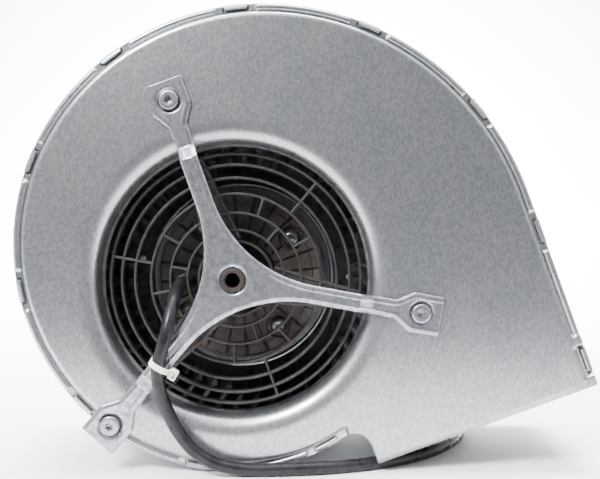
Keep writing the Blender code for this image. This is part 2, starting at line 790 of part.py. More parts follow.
def blade(number):
    """One forward-curved blade, a thin arc in plan that leans clockwise towards its tip."""
    middle = 360.0 * number / BLADES
    plan = [[], []]
    for i in range(3):
        share = i / 2
        radius = BLADE_INNER + share * (BLADE_OUTER - BLADE_INNER)
        angle = middle - BLADE_SWEEP * share**1.7
        half = math.degrees(BLADE_SHEET / 2 / radius) * (1.0 + 0.5 * share)
        plan[0].append(polar(radius, angle - half))
        plan[1].append(polar(radius, angle + half))
    outline = plan[0] + plan[1][::-1]
    ends = (IMPELLER_FRONT + 0.5 * MM, IMPELLER_BACK - 0.5 * MM)
    return loft("blade", [[(x, y, z) for x, z in outline] for y in ends], black_plastic())


def impeller(parent):
    """The moulded impeller: a back disc, the blades and the ring that ties their front ends."""
    back = IMPELLER_BACK - DISC_SHEET
    disc = turned("impeller", ring_profile(12.0 * MM, 87.8 * MM, back, IMPELLER_BACK),
                  black_plastic(), parent, BLADES)
    ring = ring_profile(73.6 * MM, 87.8 * MM, IMPELLER_FRONT, IMPELLER_FRONT + 2.0 * MM)
    blades = gathered("impeller_blades", [blade(k) for k in range(BLADES)], black_plastic(), parent)
    combine(disc, blades, "UNION")
    combine(disc, turned("impeller_ring", ring, black_plastic(), parent, BLADES), "UNION")
    combine(disc, rivet_drills("disc_drills", parent), "DIFFERENCE")
    for number, (radius, angle) in enumerate(BALANCE_PLACES, 1):
        hole = [(0.0, 33.0 * MM), (1.4 * MM, 33.0 * MM), (1.4 * MM, 39.0 * MM), (0.0, 39.0 * MM)]
        drill = turned(f"balance_drill_{number}", hole, zinc(), parent, SMALL_ROUND, polar(radius, angle))
        combine(disc, drill, "DIFFERENCE")


def impeller_rivets(parent):
    """Rivets through the can's end and the impeller's disc."""
    profile = [
        (0.0, 31.2 * MM),
        (3.0 * MM, 31.2 * MM),
        (4.0 * MM, 31.9 * MM),
        (4.0 * MM, 32.7 * MM),
        (2.2 * MM, 32.7 * MM),
        (2.2 * MM, 37.3 * MM),
        (4.0 * MM, 37.3 * MM),
        (4.0 * MM, 38.0 * MM),
        (2.8 * MM, 38.8 * MM),
        (0.0, 38.8 * MM),
    ]
    for number, angle in enumerate(ARM_ANGLES, 1):
        centre = polar(RIVET_CIRCLE, angle)
        turned(f"impeller_rivet_{number}", profile, polished_steel(), parent, SMALL_ROUND, centre)


def balance_pins(parent):
    """Small rivets pressed into the impeller's disc to balance it."""
    profile = [
        (0.0, 33.0 * MM),
        (1.8 * MM, 33.2 * MM),
        (1.8 * MM, 34.5 * MM),
        (1.1 * MM, 34.5 * MM),
        (1.1 * MM, 37.3 * MM),
        (1.8 * MM, 37.3 * MM),
        (1.8 * MM, 38.3 * MM),
        (0.0, 38.5 * MM),
    ]
    for number, (radius, angle) in enumerate(BALANCE_PLACES, 1):
        turned(f"balance_pin_{number}", profile, polished_steel(), parent, SMALL_ROUND, polar(radius, angle))


# ---------------------------------------------------------------- cable


def cable_gland(parent):
    """The tapered strain relief where the cable leaves the motor flange."""
    foot = FLANGE_FRONT - GAP
    profile = [
        (0.0, foot),
        (7.5 * MM, foot),
        (7.5 * MM, foot - 3.0 * MM),
        (5.8 * MM, foot - 4.0 * MM),
        (4.2 * MM, GLAND_TIP),
        (0.0, GLAND_TIP),
    ]
    turned("cable_gland", profile, black_plastic(), parent, SMALL_ROUND, polar(*GLAND_PLACE))


def strap(name, inner, wall, width, look, parent):
    """A closed strap round a section; inner lists the section's (s, t) corners, wall its thickness."""
    middle = [sum(point[k] for point in inner) / len(inner) for k in (0, 1)]
    outer = []
    for s, t in inner:
        reach = math.hypot(s - middle[0], t - middle[1])
        share = 1.0 + wall * 1.25 / reach
        outer.append((middle[0] + (s - middle[0]) * share, middle[1] + (t - middle[1]) * share))
    sections = []
    for near, far in zip(inner, outer):
        sections.append([(near[0], near[1], -width / 2), (far[0], far[1], -width / 2),
                         (far[0], far[1], width / 2), (near[0], near[1], width / 2)])
    return loft(name, sections, look, parent, closed=True)


def cable_tie(parent):
    """The tie that straps the cable to the bracket's lower left arm, with its head at one side."""
    inner = [(-5.5, -55.2), (5.5, -55.2), (5.6, -58.6), (5.0, -62.6), (3.0, -65.7), (-3.0, -65.7),
             (-5.0, -62.6), (-5.6, -58.6)]
    tie = strap("cable_tie", [(s * MM, t * MM) for s, t in inner], 1.0 * MM, 3.0 * MM, cream_nylon(), parent)
    bm = bmesh.new()
    bmesh.ops.create_cube(bm, size=1.0)
    for vert in bm.verts:
        vert.co = (vert.co.x * 4.4 * MM + 8.1 * MM, vert.co.y * 5.0 * MM - 61.2 * MM, vert.co.z * 5.6 * MM)
    head = as_object("tie_head", bm, cream_nylon(), parent)
    for piece in (tie, head):
        piece.location = (-76.1 * MM, 0.0, 59.0 * MM)
        piece.rotation_euler = (0.0, math.radians(29.5), 0.0)
    combine(tie, head, "UNION")


def coil_and_connector(parent):
    """The rest of the lead wound in two turns on the floor, its tie and the connector on its end."""
    cx, cy = COIL_CENTRE
    inner, outer = COIL_RADIUS - CABLE_RADIUS, COIL_RADIUS + CABLE_RADIUS
    top = COIL_BOTTOM + 4 * CABLE_RADIUS
    profile = [(inner, COIL_BOTTOM), (outer, COIL_BOTTOM), (outer, top), (inner, top)]
    coil = turned("cable_coil", profile, cable_rubber(), parent)
    coil.location = (cx, cy, 0.0)
    coil.rotation_euler = (math.radians(90.0), 0.0, 0.0)
    half, wall = CABLE_RADIUS + GAP, 0.6 * MM
    low, high = COIL_BOTTOM - GAP, top + GAP
    sections = []
    for s, t, ds, dt in ((-half, low, -1, -1), (half, low, 1, -1), (half, high, 1, 1), (-half, high, -1, 1)):
        near, far = (s, t), (s + ds * wall, t + dt * wall)
        sections.append([(near[0], -1.5 * MM, near[1]), (far[0], -1.5 * MM, far[1]),
                         (far[0], 1.5 * MM, far[1]), (near[0], 1.5 * MM, near[1])])
    tie = loft("coil_tie", sections, cream_nylon(), parent, closed=True)
    turn = math.radians(150.0)
    tie.location = (cx + COIL_RADIUS * math.cos(turn), cy + COIL_RADIUS * math.sin(turn), 0.0)
    tie.rotation_euler = (0.0, 0.0, turn)

    length, width, height = 20.0 * MM, 13.0 * MM, 10.0 * MM
    bm = bmesh.new()
    bmesh.ops.create_cube(bm, size=1.0)
    for vert in bm.verts:
        vert.co = (vert.co.x * length, vert.co.y * width, (vert.co.z + 0.5) * height)
    back = [face for face in bm.faces if face.normal.x < -0.9]
    bmesh.ops.inset_region(bm, faces=back, thickness=1.6 * MM, depth=0.0)
    step = bmesh.ops.extrude_face_region(bm, geom=back)["geom"]
    moved = [item for item in step if isinstance(item, bmesh.types.BMVert)]
    bmesh.ops.translate(bm, verts=moved, vec=(-3.0 * MM, 0.0, 0.0))
    bmesh.ops.delete(bm, geom=back, context="FACES_ONLY")
    connector = as_object("cable_connector", bm, cream_nylon(), parent)
    connector.location = (59.0 * MM, 64.0 * MM, 0.0)


# ---------------------------------------------------------------- assembly


def build():
    for old in list(bpy.data.objects):
        bpy.data.objects.remove(old)
    fan = frame_empty("fan_frame")
    rotor = frame_empty("rotor_axis")
    stand = frame_empty("cable_frame", 0.0, 0.0, 0.0)

    inlet_plate(fan)
    side_plate("rear_plate", 1.0, None, fan)
    scroll_band(fan)
    motor_bracket(fan)
    bracket_screws(fan)
    hub_bush(fan)
    inlet_guard(fan)
    motor_flange(fan)
    motor_screws(fan)
    stator(fan)
    bearings(fan, rotor)

    rotor_shaft(rotor)
    retaining_ring(rotor)
    rotor_can(rotor)
    rotor_cage(rotor)
    impeller(rotor)
    impeller_rivets(rotor)
    balance_pins(rotor)

    cable_gland(fan)
    tube("supply_cable", CABLE_ROUTE_MM, cable_rubber(), stand)
    cable_tie(stand)
    coil_and_connector(stand)
    tube("supply_cable_tail", TAIL_ROUTE_MM, cable_rubber(), stand)


build()
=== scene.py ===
"""The looks of the combustion fan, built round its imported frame.

Lengths are in millimetres unless a name says otherwise. Most pieces are designed in the fan frame: its
origin is on the shaft axis, midway between the side plates, y is the axis and the outlet points down
along -z. The matrix FAN leans that frame over and puts it in the row frame, in metres.
"""

import json
import math

import bmesh
import bpy
import numpy as np
from mathutils import Matrix, Vector, geometry


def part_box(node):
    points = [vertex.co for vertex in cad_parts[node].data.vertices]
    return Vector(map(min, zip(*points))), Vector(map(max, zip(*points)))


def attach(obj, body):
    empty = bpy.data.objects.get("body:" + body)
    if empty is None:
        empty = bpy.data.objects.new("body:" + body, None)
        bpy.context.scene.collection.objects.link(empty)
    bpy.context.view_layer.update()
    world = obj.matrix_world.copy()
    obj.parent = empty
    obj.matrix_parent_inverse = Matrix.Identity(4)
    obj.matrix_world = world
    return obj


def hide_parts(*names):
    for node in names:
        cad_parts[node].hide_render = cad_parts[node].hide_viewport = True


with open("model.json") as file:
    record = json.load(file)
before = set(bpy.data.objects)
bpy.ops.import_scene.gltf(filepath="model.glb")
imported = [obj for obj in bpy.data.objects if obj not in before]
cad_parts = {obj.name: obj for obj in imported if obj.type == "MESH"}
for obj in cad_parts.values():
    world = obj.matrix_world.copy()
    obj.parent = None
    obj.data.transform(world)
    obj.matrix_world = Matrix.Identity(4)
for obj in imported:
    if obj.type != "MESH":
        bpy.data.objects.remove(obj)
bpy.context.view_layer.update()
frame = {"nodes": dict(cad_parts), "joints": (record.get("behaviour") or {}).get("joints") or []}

MM = 0.001
AXIS = Vector(frame["joints"][0]["pos_m"])
LEAN = math.radians(19.8)
FAN = Matrix.Translation(AXIS) @ Matrix.Rotation(-LEAN, 4, "Y") @ Matrix.Scale(MM, 4)
STAND = Matrix.Translation((0.0, AXIS.y, 0.0)) @ Matrix.Scale(MM, 4)

FRONT = (0.0, -1.0, 0.0)
BACK = (0.0, 1.0, 0.0)
ARM_ANGLES = (90.0, 210.0, 330.0)

# Scroll, as in the CAD
SCROLL_BASE = 98.6
SCROLL_GROWTH = 0.521
SCROLL_EASING = 0.00088
RAMP_CENTRE = 84.9
RAMP_WIDTH = 49.0
TONGUE_SWELL = 2.4
SWELL_TURNS = (-15.5, 49.5)
WALL_TURN = 274.0
OUTLET_DROP = 119.5
TONGUE_X = 39.4
TONGUE_FILLET = 10.0
TONGUE_TRIM = 4.6
BAND_SHEET = 0.8
BAND_HALF = 48.7
PLATE_FACE = 50.0
MOUTH_OUTER = 86.0  # where the mouth's roll starts
MOUTH_ROLL = (11.1, 6.4)  # how far it reaches inwards and back
THROAT = 74.8
FLANGE_FACE = 47.6
TABS = 11
TAB_LENGTH = 12.5
TAB_FIRST = 33.1
TAB_PITCH = 73.5
TAB_LAG = 4.8

# Bracket
ARM_HALF = 4.8
HUB_WAIST = 16.5
BRACKET_FRONT = -57.5
PAD_FRONT = -52.1
JOGGLE = (68.5, 75.8)
PAD_SHOULDER = (88.0, 97.0)  # where an arm widens to its pad
PAD_HALF = (5.05, 10.8)  # half the width before and after the shoulder
PAD_END = 112.8
SCREW_CIRCLE = 102.2

# Guard, motor and impeller
GUARD_RINGS = (26.9, 36.4, 47.1, 56.0, 63.3, 69.5)
GUARD_RING_HALF = 0.8
GUARD_RIB_HALF = 0.75
GUARD_ARM_HALF = (9.8, 5.4)  # at the first ring and at the last
GUARD_TUBE = (19.8, 21.4)
GUARD_FRONT = -37.0
GUARD_BACK = -32.0
GUARD_RIB_OFFSETS = ((0.0,), (-21.0, 21.0), (0.0,), (0.0,), (0.0,))
FLANGE_FRONT = -1.0
MOTOR_SCREW_CIRCLE = 37.7
MOTOR_SCREW_START = 16.8
BLADES = 46
BLADE_INNER = 74.5
BLADE_OUTER = 87.0
BLADE_SWEEP = 8.0

# Cable
CABLE_DIAMETER = 7.0
GLAND_PLACE = (31.65, 166.0)
GLAND_TIP = -25.0
COIL_CENTRE = (22.0, 110.0)
COIL_RADIUS = 38.5
COIL_LAYERS = (4.5, 11.5)
CABLE_ROUTE = (
    (-70.0, -25.5, 100.8),
    (-70.0, -33.0, 100.8),
    (-70.1, -43.3, 98.0),
    (-70.5, -53.1, 91.1),
    (-71.8, -59.7, 81.2),
    (-74.4, -62.0, 69.6),
    (-76.9, -61.8, 58.9),
    (-76.4, -60.8, 48.0),
    (-73.2, -59.5, 37.3),
    (-67.0, -58.2, 24.6),
    (-58.6, -57.2, 14.0),
    (-46.0, -56.6, 6.5),
    (-30.0, -56.0, 3.65),
    (-14.0, -55.2, 3.55),
    (-2.0, -54.2, 3.55),
    (12.5, -51.6, 3.55),
    (26.0, -48.0, 3.55),
    (38.5, -43.4, 3.55),
    (56.5, -34.5, 3.55),
    (75.0, -19.0, 3.55),
    (91.0, 3.0, 3.55),
    (99.6, 27.0, 3.55),
    (98.4, 46.0, 3.55),
    (92.2, 62.4, 3.55),
    (84.5, 76.5, 3.55),
    (75.0, 93.6, 3.7),
    (67.7, 106.9, 4.0),
)
COIL_LEAD_IN = ((61.7, 117.7, 4.3),)
COIL_TURNS = (29.0, 600.0)  # where the coil starts and ends, in degrees
COIL_LEAD_OUT = ((9.6, 72.7, 11.45), (16.5, 68.7, 11.15), (22.0, 66.1, 10.1))
CABLE_TAIL = ((28.3, 64.6, 8.2), (33.5, 64.15, 6.6), (39.4, 64.1, 5.55), (45.3, 64.1, 5.2))


# ---------------------------------------------------------------- materials


class Look:
    """A Principled material whose sockets are driven by procedural nodes in object coordinates."""

    def __init__(self, name, colour, roughness, metallic=0.0, **sockets):
        self.material = bpy.data.materials.new(name)
        self.material.use_nodes = True
        self.nodes = self.material.node_tree.nodes
        self.links = self.material.node_tree.links
        self.shader = self.nodes["Principled BSDF"]
        self.shader.inputs["Base Color"].default_value = (*colour, 1.0)
        self.shader.inputs["Roughness"].default_value = roughness
        self.shader.inputs["Metallic"].default_value = metallic
        for socket, value in sockets.items():
            self.shader.inputs[socket.replace("_", " ")].default_value = value
        self.material.diffuse_color = (*colour, 1.0)
        self.place = self.nodes.new("ShaderNodeTexCoord").outputs["Object"]
        self.normal = None

    def add(self, kind, settings=None, **inputs):
        """A node of that kind; an input is a value, or the output of another node."""
        made = self.nodes.new(kind)
        for key, value in (settings or {}).items():
            setattr(made, key, value)
        for key, value in inputs.items():
            socket = made.inputs[key.replace("_", " ")]
            if isinstance(value, bpy.types.NodeSocket):
                self.links.new(value, socket)
            else:
                socket.default_value = value
        return made

    def stretched(self, x, y, z):
        """Object coordinates with each axis scaled, for grain that runs one way."""
        mapping = self.add("ShaderNodeMapping", Vector=self.place)
        mapping.inputs["Scale"].default_value = (x, y, z)
        return mapping.outputs["Vector"]

    def noise(self, size_mm, detail=3.0, roughness=0.55, place=None):
        """Noise from 0 to 1 whose features are about size_mm across."""
        made = self.add("ShaderNodeTexNoise", Vector=place or self.place, Scale=1000.0 / size_mm,
                        Detail=detail, Roughness=roughness)
        return made.outputs["Fac"]

    def cells(self, size_mm):
        """A value from 0 to 1 that is the same all over each crystal-like cell."""
        made = self.add("ShaderNodeTexVoronoi", Vector=self.place, Scale=1000.0 / size_mm)
        spread = self.add("ShaderNodeSeparateColor", Color=made.outputs["Color"])
        return spread.outputs[0]

    def ramp(self, value, low, high, ends=((0, 0, 0), (1, 1, 1))):
        """Two colours across value, from low to high."""
        made = self.add("ShaderNodeValToRGB", Fac=value)
        for element, place, colour in zip(made.color_ramp.elements, (low, high), ends):
            element.position = place
            element.color = (*colour, 1.0)
        return made.outputs["Color"]

    def mix(self, share, first, second):
        made = self.add("ShaderNodeMix", {"data_type": "RGBA"})
        for index, value in ((0, share), (6, first), (7, second)):
            socket = made.inputs[index]
            if isinstance(value, bpy.types.NodeSocket):
                self.links.new(value, socket)
            else:
                socket.default_value = value if index == 0 else (*value, 1.0)
        return made.outputs[2]

    def colour(self, output):
        self.links.new(output, self.shader.inputs["Base Color"])

    def rough(self, value, at_low, at_high):
        """Roughness from at_low to at_high as value goes from 0.3 to 0.7."""
        made = self.add("ShaderNodeMapRange", Value=value, From_Min=0.3, From_Max=0.7, To_Min=at_low,
                        To_Max=at_high)
        self.links.new(made.outputs["Result"], self.shader.inputs["Roughness"])

    def bump(self, height, depth_mm, strength=1.0):
        """Adds a bump of that depth on top of the ones before."""
        made = self.add("ShaderNodeBump", Height=height, Strength=strength, Distance=depth_mm * MM)
        if self.normal:
            self.links.new(self.normal, made.inputs["Normal"])
        self.normal = made.outputs["Normal"]
        self.links.new(self.normal, self.shader.inputs["Normal"])


def galvanised_look():
    """Hot-dip galvanised sheet: fine grain, faint spangle and soft clouds."""
    look = Look("galvanised_sheet", (0.5, 0.52, 0.54), 0.4, 0.88)
    grain = look.noise(1.25, 2.0, 0.5, look.stretched(1.0, 1.0, 0.6))
    cloud = look.noise(24.0, 3.0)
    spangle = look.cells(3.2)
    tone = look.ramp(grain, 0.38, 0.62, ((0.255, 0.275, 0.3), (0.405, 0.41, 0.423)))
    tone = look.mix(0.1, tone, look.ramp(spangle, 0.0, 1.0, ((0.27, 0.29, 0.32), (0.4, 0.405, 0.41))))
    tone = look.mix(0.22, tone, look.ramp(cloud, 0.35, 0.65, ((0.29, 0.305, 0.33), (0.41, 0.41, 0.415))))
    look.colour(tone)
    look.rough(look.noise(2.4, 3.0), 0.27, 0.31)
    look.bump(look.noise(45.0, 1.0), 0.5, 0.25)
    return look.material


def zinc_look():
    """Zinc plate on the bracket and the screws, satin, with a lilac and grey mottle."""
    look = Look("zinc_plate", (0.66, 0.67, 0.7), 0.36, 0.86)
    blotch = look.noise(2.6, 4.0, 0.6)
    tint = look.noise(6.5, 3.0)
    tone = look.ramp(blotch, 0.38, 0.62, ((0.15, 0.155, 0.18), (0.4, 0.41, 0.43)))
    tone = look.mix(0.3, tone, look.ramp(tint, 0.38, 0.62, ((0.29, 0.27, 0.33), (0.34, 0.36, 0.38))))
    look.colour(tone)
    look.rough(blotch, 0.36, 0.25)
    look.bump(look.noise(14.0, 1.0), 0.06, 0.3)
    return look.material


def bright_look():
    """Bright plated steel, for rivets and pins."""
    look = Look("bright_steel", (0.72, 0.76, 0.81), 0.26, 0.95)
    film = look.noise(1.4, 3.0)
    look.colour(look.ramp(film, 0.3, 0.7, ((0.56, 0.6, 0.68), (0.7, 0.74, 0.8))))
    look.rough(film, 0.28, 0.38)
    look.bump(film, 0.008, 0.25)
    return look.material


def drawn_look():
    """Drawn and ground steel with fine lines round the axis."""
    look = Look("drawn_steel", (0.6, 0.6, 0.61), 0.32, 0.95)
    lines = look.noise(1.2, 4.0, 0.7, look.stretched(0.12, 4.0, 0.12))
    look.colour(look.ramp(lines, 0.3, 0.7, ((0.5, 0.5, 0.515), (0.7, 0.7, 0.705))))
    look.rough(look.noise(5.0), 0.25, 0.42)
    look.bump(lines, 0.03, 0.5)
    return look.material


def cast_look():
    """Die-cast alloy that has dulled to a brown grey."""
    look = Look("cast_alloy", (0.2, 0.18, 0.165), 0.62, 0.35)
    grain = look.noise(0.9, 4.0, 0.7)
    stain = look.noise(7.0, 3.0)
    tone = look.ramp(grain, 0.3, 0.7, ((0.06, 0.05, 0.046), (0.105, 0.09, 0.082)))
    tone = look.mix(0.4, tone, look.ramp(stain, 0.35, 0.65, ((0.04, 0.034, 0.031), (0.125, 0.106, 0.096))))
    look.colour(tone)
    look.bump(grain, 0.12, 0.7)
    return look.material


def lamination_look():
    """Stacked electrical steel: thin plates along the axis."""
    look = Look("lamination_steel", (0.25, 0.25, 0.27), 0.5, 0.8)
    wave = look.add("ShaderNodeTexWave", {"bands_direction": "Y"}, Vector=look.place, Scale=640.0,
                    Distortion=0.4, Detail=1.0)
    look.colour(look.ramp(wave.outputs["Fac"], 0.2, 0.8, ((0.13, 0.13, 0.14), (0.33, 0.33, 0.35))))
    look.rough(look.noise(3.0), 0.4, 0.6)
    look.bump(wave.outputs["Fac"], 0.08, 0.6)
    return look.material


def copper_look():
    """Enamelled copper wire."""
    look = Look("copper_winding", (0.62, 0.27, 0.12), 0.35, 0.8, Coat_Weight=0.4)
    tone = look.noise(2.0, 3.0)
    look.colour(look.ramp(tone, 0.3, 0.7, ((0.45, 0.17, 0.07), (0.72, 0.34, 0.16))))
    look.bump(tone, 0.05, 0.5)
    return look.material


def guard_look():
    """Black-brown moulding, satin, with a little dust."""
    look = Look("guard_plastic", (0.018, 0.016, 0.016), 0.42, Specular_IOR_Level=0.3)
    dust = look.noise(5.0, 5.0, 0.7)
    look.colour(look.ramp(dust, 0.35, 0.75, ((0.01, 0.0085, 0.0085), (0.028, 0.0245, 0.024))))
    look.rough(look.noise(1.8, 4.0), 0.45, 0.6)
    look.bump(look.noise(0.7, 3.0), 0.04, 0.4)
    return look.material


def impeller_look():
    """Black glass-filled moulding."""
    look = Look("impeller_plastic", (0.09, 0.091, 0.094), 0.34)
    haze = look.noise(6.0, 4.0, 0.65)
    look.colour(look.ramp(haze, 0.35, 0.7, ((0.06, 0.062, 0.065), (0.13, 0.131, 0.134))))
    look.rough(haze, 0.22, 0.4)
    look.bump(look.noise(0.9, 3.0), 0.03, 0.4)
    return look.material


def sheath_look():
    """Black cable sheath with a soft shine."""
    look = Look("cable_sheath", (0.02, 0.018, 0.021), 0.28, Specular_IOR_Level=0.2)
    smear = look.noise(9.0, 4.0, 0.6)
    look.colour(look.ramp(smear, 0.35, 0.7, ((0.008, 0.007, 0.0085), (0.018, 0.016, 0.0195))))
    look.rough(smear, 0.22, 0.34)
    look.bump(look.noise(1.2, 4.0, 0.7), 0.05, 0.4)
    return look.material


def nylon_look():
    """Natural nylon, slightly see-through at thin edges."""
    colour = (0.8, 0.77, 0.66)
    look = Look("cream_nylon", colour, 0.38, 0.0, Subsurface_Weight=0.12, Subsurface_Scale=0.002)
    tone = look.noise(3.0, 3.0)
    darker = tuple(0.9 * value for value in colour)
    look.colour(look.ramp(tone, 0.3, 0.7, (darker, colour)))
    look.rough(tone, 0.33, 0.45)
    look.bump(look.noise(0.8, 2.0), 0.02, 0.4)
    return look.material


def rubber_look():
    """Black rubber and moulded strain relief."""
    look = Look("black_rubber", (0.03, 0.03, 0.03), 0.55)
    grain = look.noise(1.0, 4.0, 0.7)
    look.colour(look.ramp(grain, 0.3, 0.7, ((0.022, 0.021, 0.021), (0.045, 0.042, 0.042))))
    look.bump(grain, 0.06, 0.5)
    return look.material


def bush_look():
    """Dark oiled sintered metal."""
    look = Look("sintered_bush", (0.02, 0.017, 0.015), 0.6, Specular_IOR_Level=0.15)
    grain = look.noise(1.2, 3.0)
    look.colour(look.ramp(grain, 0.3, 0.7, ((0.014, 0.0118, 0.0108), (0.03, 0.0257, 0.0235))))
    look.bump(grain, 0.05, 0.4)
    return look.material


GALVANISED = galvanised_look()
ZINC = zinc_look()
BRIGHT = bright_look()
DRAWN = drawn_look()
CAST = cast_look()
BUSH = bush_look()
LAMINATION = lamination_look()
COPPER = copper_look()
GUARD = guard_look()
IMPELLER = impeller_look()
SHEATH = sheath_look()
NYLON = nylon_look()
RUBBER = rubber_look()


# ---------------------------------------------------------------- shapes


def polar(radius, angle):
    """The (x, z) at an angle in degrees, counterclockwise from +x as seen from the inlet."""
    turn = math.radians(angle)
    return radius * math.cos(turn), radius * math.sin(turn)


def along(angle, out, across):
    """The (x, z) that far out on a ray at an angle, and that far to its left."""
    turn = math.radians(angle)
    cos, sin = math.cos(turn), math.sin(turn)
    return out * cos - across * sin, out * sin + across * cos


def circle(radius, steps, centre=(0.0, 0.0)):
    places = (polar(radius, 360.0 * i / steps) for i in range(steps))
    return [(centre[0] + x, centre[1] + z) for x, z in places]


def share_of(value, low, high):
    """How far value is on its way from low to high, from 0 to 1."""
    return min(max((value - low) / (high - low), 0.0), 1.0)


def ease(value, low, high):
    """0 below low, 1 above high, smooth between them."""
    share = share_of(value, low, high)
    return share * share * (3.0 - 2.0 * share)


def mirrored(side):
    """The (across, up) points of one side, then those of the other side on the way back."""
    return [*side, *((-across, up) for across, up in side[::-1])]


def spline(points, per_span):
    """Points on a smooth curve through the given ones."""
    points = [Vector(point) for point in points]
    ends = [2 * points[0] - points[1], *points, 2 * points[-1] - points[-2]]
    line = []
    for a, b, c, d in zip(ends, ends[1:], ends[2:], ends[3:]):
        for t in (i / per_span for i in range(per_span)):
            line.append(0.5 * (2 * b + (c - a) * t + (2 * a - 5 * b + 4 * c - d) * t**2
                               + (3 * b - a - 3 * c + d) * t**3))
    return [*line, points[-1]]


class Shape:
    """Vertices and faces that are gathered for one piece."""

    def __init__(self):
        self.verts = []
        self.faces = []

    def grid(self, rows, close_rows=False, close_columns=False):
        """Quads over rows of points; returns the vertex numbers, row by row."""
        start, wide = len(self.verts), len(rows[0])
        for row in rows:
            self.verts.extend(tuple(point) for point in row)
        numbers = [[start + i * wide + j for j in range(wide)] for i in range(len(rows))]
        for i in range(len(rows) if close_rows else len(rows) - 1):
            near, far = numbers[i], numbers[(i + 1) % len(rows)]
            for j in range(wide if close_columns else wide - 1):
                k = (j + 1) % wide
                self.faces.append((near[j], near[k], far[k], far[j]))
        return numbers

    def cap(self, numbers):
        self.faces.append(tuple(numbers))

    def tube(self, rows):
        """Rows of closed outlines, capped at both ends."""
        numbers = self.grid(rows, close_columns=True)
        self.cap(numbers[0])
        self.cap(numbers[-1])

    def fill(self, loops, y_of):
        """Triangles over a flat outline and its holes."""
        flat = [[Vector((x, z, 0.0)) for x, z in loop] for loop in loops]
        start = len(self.verts)
        self.verts.extend((p.x, y_of(p.x, p.y), p.y) for loop in flat for p in loop)
        for corners in geometry.tessellate_polygon(flat):
            self.faces.append(tuple(start + i for i in corners))

    def turn(self, profile, steps, centre=(0.0, 0.0), closed=True):
        """A profile of (radius, y) points turned about the y axis through centre."""
        rows = []
        for radius, y in profile:
            rows.append([(x, y, z) for x, z in circle(max(radius, 1e-4), steps, centre)])
        self.grid(rows, close_rows=closed, close_columns=True)

    def sweep(self, path, section, up):
        """A section of (side, up) points carried round a closed path."""
        rows = []
        for i, point in enumerate(path):
            ahead = (Vector(path[(i + 1) % len(path)]) - Vector(path[i - 1])).normalized()
            side = ahead.cross(Vector(up)).normalized()
            rise = side.cross(ahead)
            rows.append([Vector(point) + side * s + rise * t for s, t in section])
        self.grid(rows, close_rows=True, close_columns=True)

    def block(self, low, high):
        """A box between two corners."""
        corners = (low[0], low[1]), (high[0], low[1]), (high[0], high[1]), (low[0], high[1])
        self.tube([[(x, y, z) for x, y in corners] for z in (low[2], high[2])])


def rounded(width, height, radius, steps=4):
    """A closed rounded rectangle of (side, up) points about its middle."""
    outline = []
    for corner, (sx, sz) in enumerate(((1, 1), (-1, 1), (-1, -1), (1, -1))):
        for i in range(steps + 1):
            x, z = polar(radius, 90.0 * corner + 90.0 * i / steps)
            outline.append((sx * (width / 2 - radius) + x, sz * (height / 2 - radius) + z))
    return outline


def piece(name, shape, look, body, nodes=(), place=FAN, crease=40.0, facing=None,
          thickness=0.0, bevel=0.0):
    """Makes the shape an object that rides on body and stands for the CAD nodes."""
    bm = bmesh.new()
    verts = [bm.verts.new(point) for point in shape.verts]
    for face in shape.faces:
        corners = [verts[i] for i in dict.fromkeys(face)]
        if len(corners) > 2 and not bm.faces.get(corners):
            bm.faces.new(corners)
    bmesh.ops.remove_doubles(bm, verts=bm.verts, dist=2e-3)
    bmesh.ops.recalc_face_normals(bm, faces=bm.faces)
    outwards = sum((face.normal * face.calc_area() for face in bm.faces), Vector())
    if facing and outwards.dot(Vector(facing)) < 0:
        bmesh.ops.reverse_faces(bm, faces=bm.faces)
    mesh = bpy.data.meshes.new(name)
    bm.to_mesh(mesh)
    bm.free()
    mesh.transform(place)
    mesh.shade_smooth()
    mesh.set_sharp_from_angle(angle=math.radians(crease))
    mesh.materials.append(look)
    made = bpy.data.objects.new(name, mesh)
    bpy.context.scene.collection.objects.link(made)
    if thickness:
        solid = made.modifiers.new("thickness", "SOLIDIFY")
        solid.thickness = thickness * MM
        solid.offset = -1.0
    if bevel:
        edge = made.modifiers.new("edges", "BEVEL")
        edge.width = bevel * MM
        edge.segments = 2
        edge.limit_method = "ANGLE"
        edge.angle_limit = math.radians(40.0)
        edge.harden_normals = True
    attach(made, body)
    if nodes:
        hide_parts(*nodes)
    return made


# ---------------------------------------------------------------- camera and cable


def camera():
    """Level, square to the inlet and a little right of the shaft, 390 mm in front of the inlet plate."""
    made = bpy.data.objects.new("camera", bpy.data.cameras.new("camera"))
    made.data.sensor_width = 36.0
    made.data.lens = 43.52
    made.location = (-2.8 * MM, AXIS.y - 440.0 * MM, 125.5 * MM)
    made.rotation_euler = (math.radians(90.0), 0.0, 0.0)
    bpy.context.scene.collection.objects.link(made)
    bpy.context.scene.camera = made


def lead_line():
    """The lead's whole centreline: its route, the turns of the coil, and the tail to the connector."""
    start, end = COIL_TURNS
    turns = []
    for i in range(29):
        angle = start + (end - start) * i / 28
        x, y = polar(COIL_RADIUS, angle)
        height = COIL_LAYERS[0] + (COIL_LAYERS[1] - COIL_LAYERS[0]) * ease(angle, 250.0, 375.0)
        turns.append((COIL_CENTRE[0] + x, COIL_CENTRE[1] + y, height))
    return spline([*CABLE_ROUTE, *COIL_LEAD_IN, *turns, *COIL_LEAD_OUT, *CABLE_TAIL], 6)


